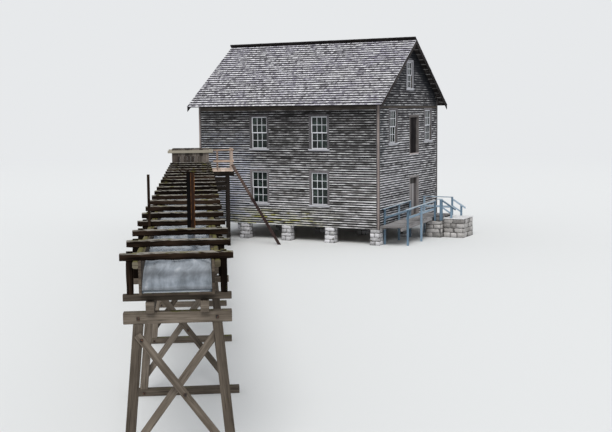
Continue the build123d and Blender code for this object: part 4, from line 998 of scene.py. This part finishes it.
def yokeFrames():
    # Hewn beams with rounded corners, their posts, and the tenons that stand up through them
    half, top, low = yokes["half"], flume["yokeTop"], flume["yokeLow"]
    middle = (top + low) / 2
    beams = sticks(flumeFrame, (-half, yokeAlong, middle), (half, yokeAlong, middle), (0, 0, 1), yokes["beam"],
                   stations=26, rough=yokes["hewn"], wander=yokes["wander"], seed=61, girth=yokes["beamSwell"])
    across, along = np.repeat([-flume["postMid"], flume["postMid"]], len(yokeAlong)), np.tile(yokeAlong, 2)
    foot, seat, head = ((across, along, up)
                        for up in (flume["tieTop"], low + yokes["shoulder"], top + yokes["tenonUp"]))
    posts = sticks(flumeFrame, foot, seat, (1, 0, 0), yokes["post"], stations=6, rough=0.0025, seed=62)
    tenons = sticks(flumeFrame, seat, head, (1, 0, 0), yokes["tenon"], stations=3, rough=0.002, seed=63)
    return [beams, posts, tenons]


def trough():
    # Floor planks side by side, and planks up each side
    clear, plank, foot = flume["clear"], flume["plank"], flume["tieTop"]
    mids, wide = evenly(-clear / 2, clear / 2, troughLook["floorPlanks"])
    shapes = [flumeRuns(across, foot + 0.001, foot + plank, wide - troughLook["gap"], 70 + k, wander=0.0)
              for k, across in enumerate(mids)]
    highs = np.linspace(foot, flume["yokeLow"], troughLook["sidePlanks"] + 1)
    for side in (-1, 1):
        for k, (low, high) in enumerate(zip(highs[:-1], highs[1:])):
            shapes.append(flumeRuns(side * (clear + plank) / 2, low + 0.002, high - 0.002, plank,
                                    80 + k + side * 5, wander=0.002))
    return shapes


def sideRails():
    out, top = flume["clear"] / 2 + flume["plank"] + troughLook["railOut"], flume["yokeLow"] - 0.001
    return [flumeRuns(side * out, top - troughLook["railTall"], top, troughLook["railWide"], 90 + side,
                      length=troughLook["railLength"], corner=troughLook["railCorner"]) for side in (-1, 1)]


def cells(grid):
    # The four corners of each cell of a grid
    return np.stack([grid[:-1, :-1], grid[:-1, 1:], grid[1:, 1:], grid[1:, :-1]], -1).reshape(-1, 4)


def waterRun(start, end, half, low, pace, brink, seed):
    # Running water: z = level + travelling sines of (along, across), the first of them of |across|; within brink
    # of its start the depth is 0.05 + (depth - 0.05)*(1 - (1 - run)^2.5)
    chance = np.random.default_rng(seed)
    along, across = np.meshgrid(np.linspace(start, end, max(8, int(abs(end - start) / pace))),
                                np.linspace(-half, half, waterRuns["columns"]), indexing="ij")
    phase = chance.uniform(0, 2 * np.pi, len(waterRuns["waves"]))
    wave = sum(tall * np.sin(ahead * along + aside * (across if k else np.abs(across)) + phase[k])
               for k, (tall, ahead, aside) in enumerate(waterRuns["waves"]))
    rim = np.minimum(1.0, (half - np.abs(across)) / waterRuns["rim"])
    top = flume["water"] + wave * (0.4 + 0.6 * rim)
    if brink:
        least = low + waterRuns["brinkDepth"]
        run = np.clip((along - start) / brink, 0.0, 1.0)
        top = least + (top - least) * (1 - (1 - run) ** 2.5)
    grid = np.arange(top.size).reshape(top.shape)
    deep = grid + top.size
    sheets = [cells(grid)[:, ::-1], cells(deep)]
    rims = []
    for a, b, flip in ((grid[:, 0], deep[:, 0], 1), (grid[:, -1], deep[:, -1], -1), (grid[0], deep[0], -1),
                       (grid[-1], deep[-1], 1)):
        rims.append(np.stack([a[:-1], a[1:], b[1:], b[:-1]], -1)[:, ::flip])
    quads, flats = np.concatenate(sheets + rims), 2 * len(sheets[0])
    flat = np.concatenate([np.stack([along, across], -1).reshape(-1, 2)] * 2)
    level = np.concatenate([top.ravel(), np.full(top.size, low)])
    uv = flat[quads]
    uv[flats:, :, 0] = flat[quads[flats:]].sum(-1)
    uv[flats:, :, 1] = level[quads[flats:]] * 2.0
    spots = np.concatenate([inFrame(flumeFrame, across, along, up).reshape(-1, 3) for up in (top, low + 0 * top)])
    return {"points": spots, "quads": quads, "caps": [], "quadUv": uv.reshape(-1, 2),
            "tone": np.repeat([0.5, 0.1], top.size)}


def bentNuts():
    # Square nuts on both faces of each bent: at the braces' ends and crossing, on the cap and on the sill
    spots = []
    for bent in yokeAlong[3::3]:
        for side in (-1, 1):
            (foot, low), (head, high) = nuts["braceLow"], nuts["braceHigh"]
            low, high = np.array([-side * foot, low]), np.array([side * head, high])
            spots += [(*(low + (high - low) * share), bent + side * nuts["braceOut"], side)
                      for share in nuts["shares"]]
            spots += [(edge * place, up, bent + side * nuts["beamOut"], side)
                      for edge in (-1, 1) for place, up in nuts["beams"]]
    across, up, along, side = np.array(spots).T
    return sticks(flumeFrame, (across, along, up), (across, along + side * nuts["thick"], up), (0, 0, 1),
                  (nuts["side"], nuts["side"], 0.006), seed=99)


setPiece("yoke_timbers", yokeFrames(), "yoke", stands=("yoke_beams", "yoke_posts"))
setPiece("trough_planks", trough(), "trough", stands=("flume_floor", "flume_walls"))
setPiece("side_rail_timbers", sideRails(), "sideRail", stands=("side_rails",))
for place, seed in (("flume", 95), ("penstock", 96)):
    setPiece(place + "_water", [waterRun(*waterRuns[place], seed)], "water", smooth=True)
for node in ("yoke_ties", "flume_stringers", "trestle_beams", "trestle_legs", "trestle_braces"):
    wornCopy(node, "trestle", "flume_wood", wear=0.008)
setPiece("bent_nuts", [bentNuts()], "rustyIron")
wornCopy("gate", "stem", "yoke_wood", body="gate", wear=0.005)
wornCopy("gate_guides", "yoke", "yoke_wood", wear=0.005)
print("flume built")

# Penstock: its sides as (fixed place, from, to, foot, top, laid along), in the flume's frame
penstock = {"stave": 0.18, "thick": 0.058, "gap": 0.003,
            "sides": ((1.57, -0.9, 0.9, 0.12, 4.7, False), (0.03, -0.9, -0.61, 0.12, 4.7, False),
                      (0.03, 0.61, 0.9, 0.12, 4.7, False), (0.03, -0.61, 0.61, 0.12, 3.365, False),
                      (0.03, -0.61, 0.61, 4.35, 4.7, False), (-0.87, 0.06, 1.54, 0.12, 4.7, True),
                      (0.87, 0.06, 1.54, 0.12, 4.7, True))}
platform = {"across": (0.9, 2.05, 6), "along": (-0.9, 1.5), "level": 3.655, "plank": (0.186, 0.048, 0.005)}


def staves(fixed, low, high, foot, top, laidAlong, seed):
    # Upright boards on one side of the penstock, laid across the flume or along it
    mids, wide = evenly(low, high, max(1, int(round((high - low) / penstock["stave"]))))
    place, out = ((fixed, mids), (1, 0, 0)) if laidAlong else ((mids, fixed), (0, 1, 0))
    section = (wide - penstock["gap"], penstock["thick"], 0.004)
    return sticks(flumeFrame, (*place, foot), (*place, top), out, section, stations=7, rough=0.001, seed=seed)


setPiece("penstock_staves", [staves(*side, 151 + k) for k, side in enumerate(penstock["sides"])], "penstock",
         stands=("penstock_front", "penstock_back", "penstock_sides"))
for node in ("penstock_cross_bands", "penstock_side_bands", "penstock_sills", "penstock_ties"):
    wornCopy(node, "penstockBand", "flume_wood", wear=0.006)
wornCopy("penstock_floor", "penstock", "penstock_wood", wear=0)
deckStarts, deckEnds = ((evenly(*platform["across"])[0], along, platform["level"]) for along in platform["along"])
setPiece("platform_planks", [sticks(flumeFrame, deckStarts, deckEnds, (0, 0, 1), platform["plank"], stations=6,
                                    wander=0.002, rough=0.001, seed=171)],
         "tanBoard", stands=("platform_deck",))
for node, finish in (("platform_logs", "log"), ("platform_posts", "platformPost"), ("platform_rails", "tanBoard"),
                     ("platform_prop", "propBoard"), ("platform_apron", "log")):
    wornCopy(node, finish, "log_wood" if finish == "log" else "platform_wood", wear=0.005)
print("penstock and platform built")

# Ramp and landing: each deck as (from y, to y, from x, to x, height at its start, height at its end)
entry = {"plank": 0.15, "thick": 0.045, "gap": 0.006,
         "decks": ((-0.2, 3.85, 0.145, 1.255, 0.95, 1.1), (3.85, 4.45, 0.03, 1.255, 1.1, 1.1),
                   (4.45, 5.75, 0.03, 1.7, 1.1, 1.1))}


def crossPlanks(y0, y1, x0, x1, top0, top1, seed):
    # Deck planks across the walk, their tops on a line from top0 to top1
    mids, wide = evenly(y0, y1, int(round((y1 - y0) / entry["plank"])))
    rise = (top1 - top0) / (y1 - y0)
    z = top0 + rise * (mids - y0) - entry["thick"] / 2
    return sticks(world, (x0, mids, z), (x1, mids, z), (0, -rise, 1.0),
                  (wide - entry["gap"], entry["thick"] - 0.002, 0.004), stations=5, wander=0.0015, rough=0.0008,
                  seed=seed)


setPiece("ramp_planks", [crossPlanks(*deck, 181 + k) for k, deck in enumerate(entry["decks"])], "greyBoard",
         stands=("ramp_deck", "landing_deck"))
for node, finish, slotName, wear in (("ramp_bearers", "greyBoard", "ramp_wood", 0.004),
                                     ("entry_posts", "blueGrey", "blue_grey_rail", 0.006),
                                     ("entry_rails", "blueGrey", "blue_grey_rail", 0.006),
                                     ("step_tread", "paleStep", "step_wood", 0.008)):
    wornCopy(node, finish, slotName, wear=wear)
print("entry built")
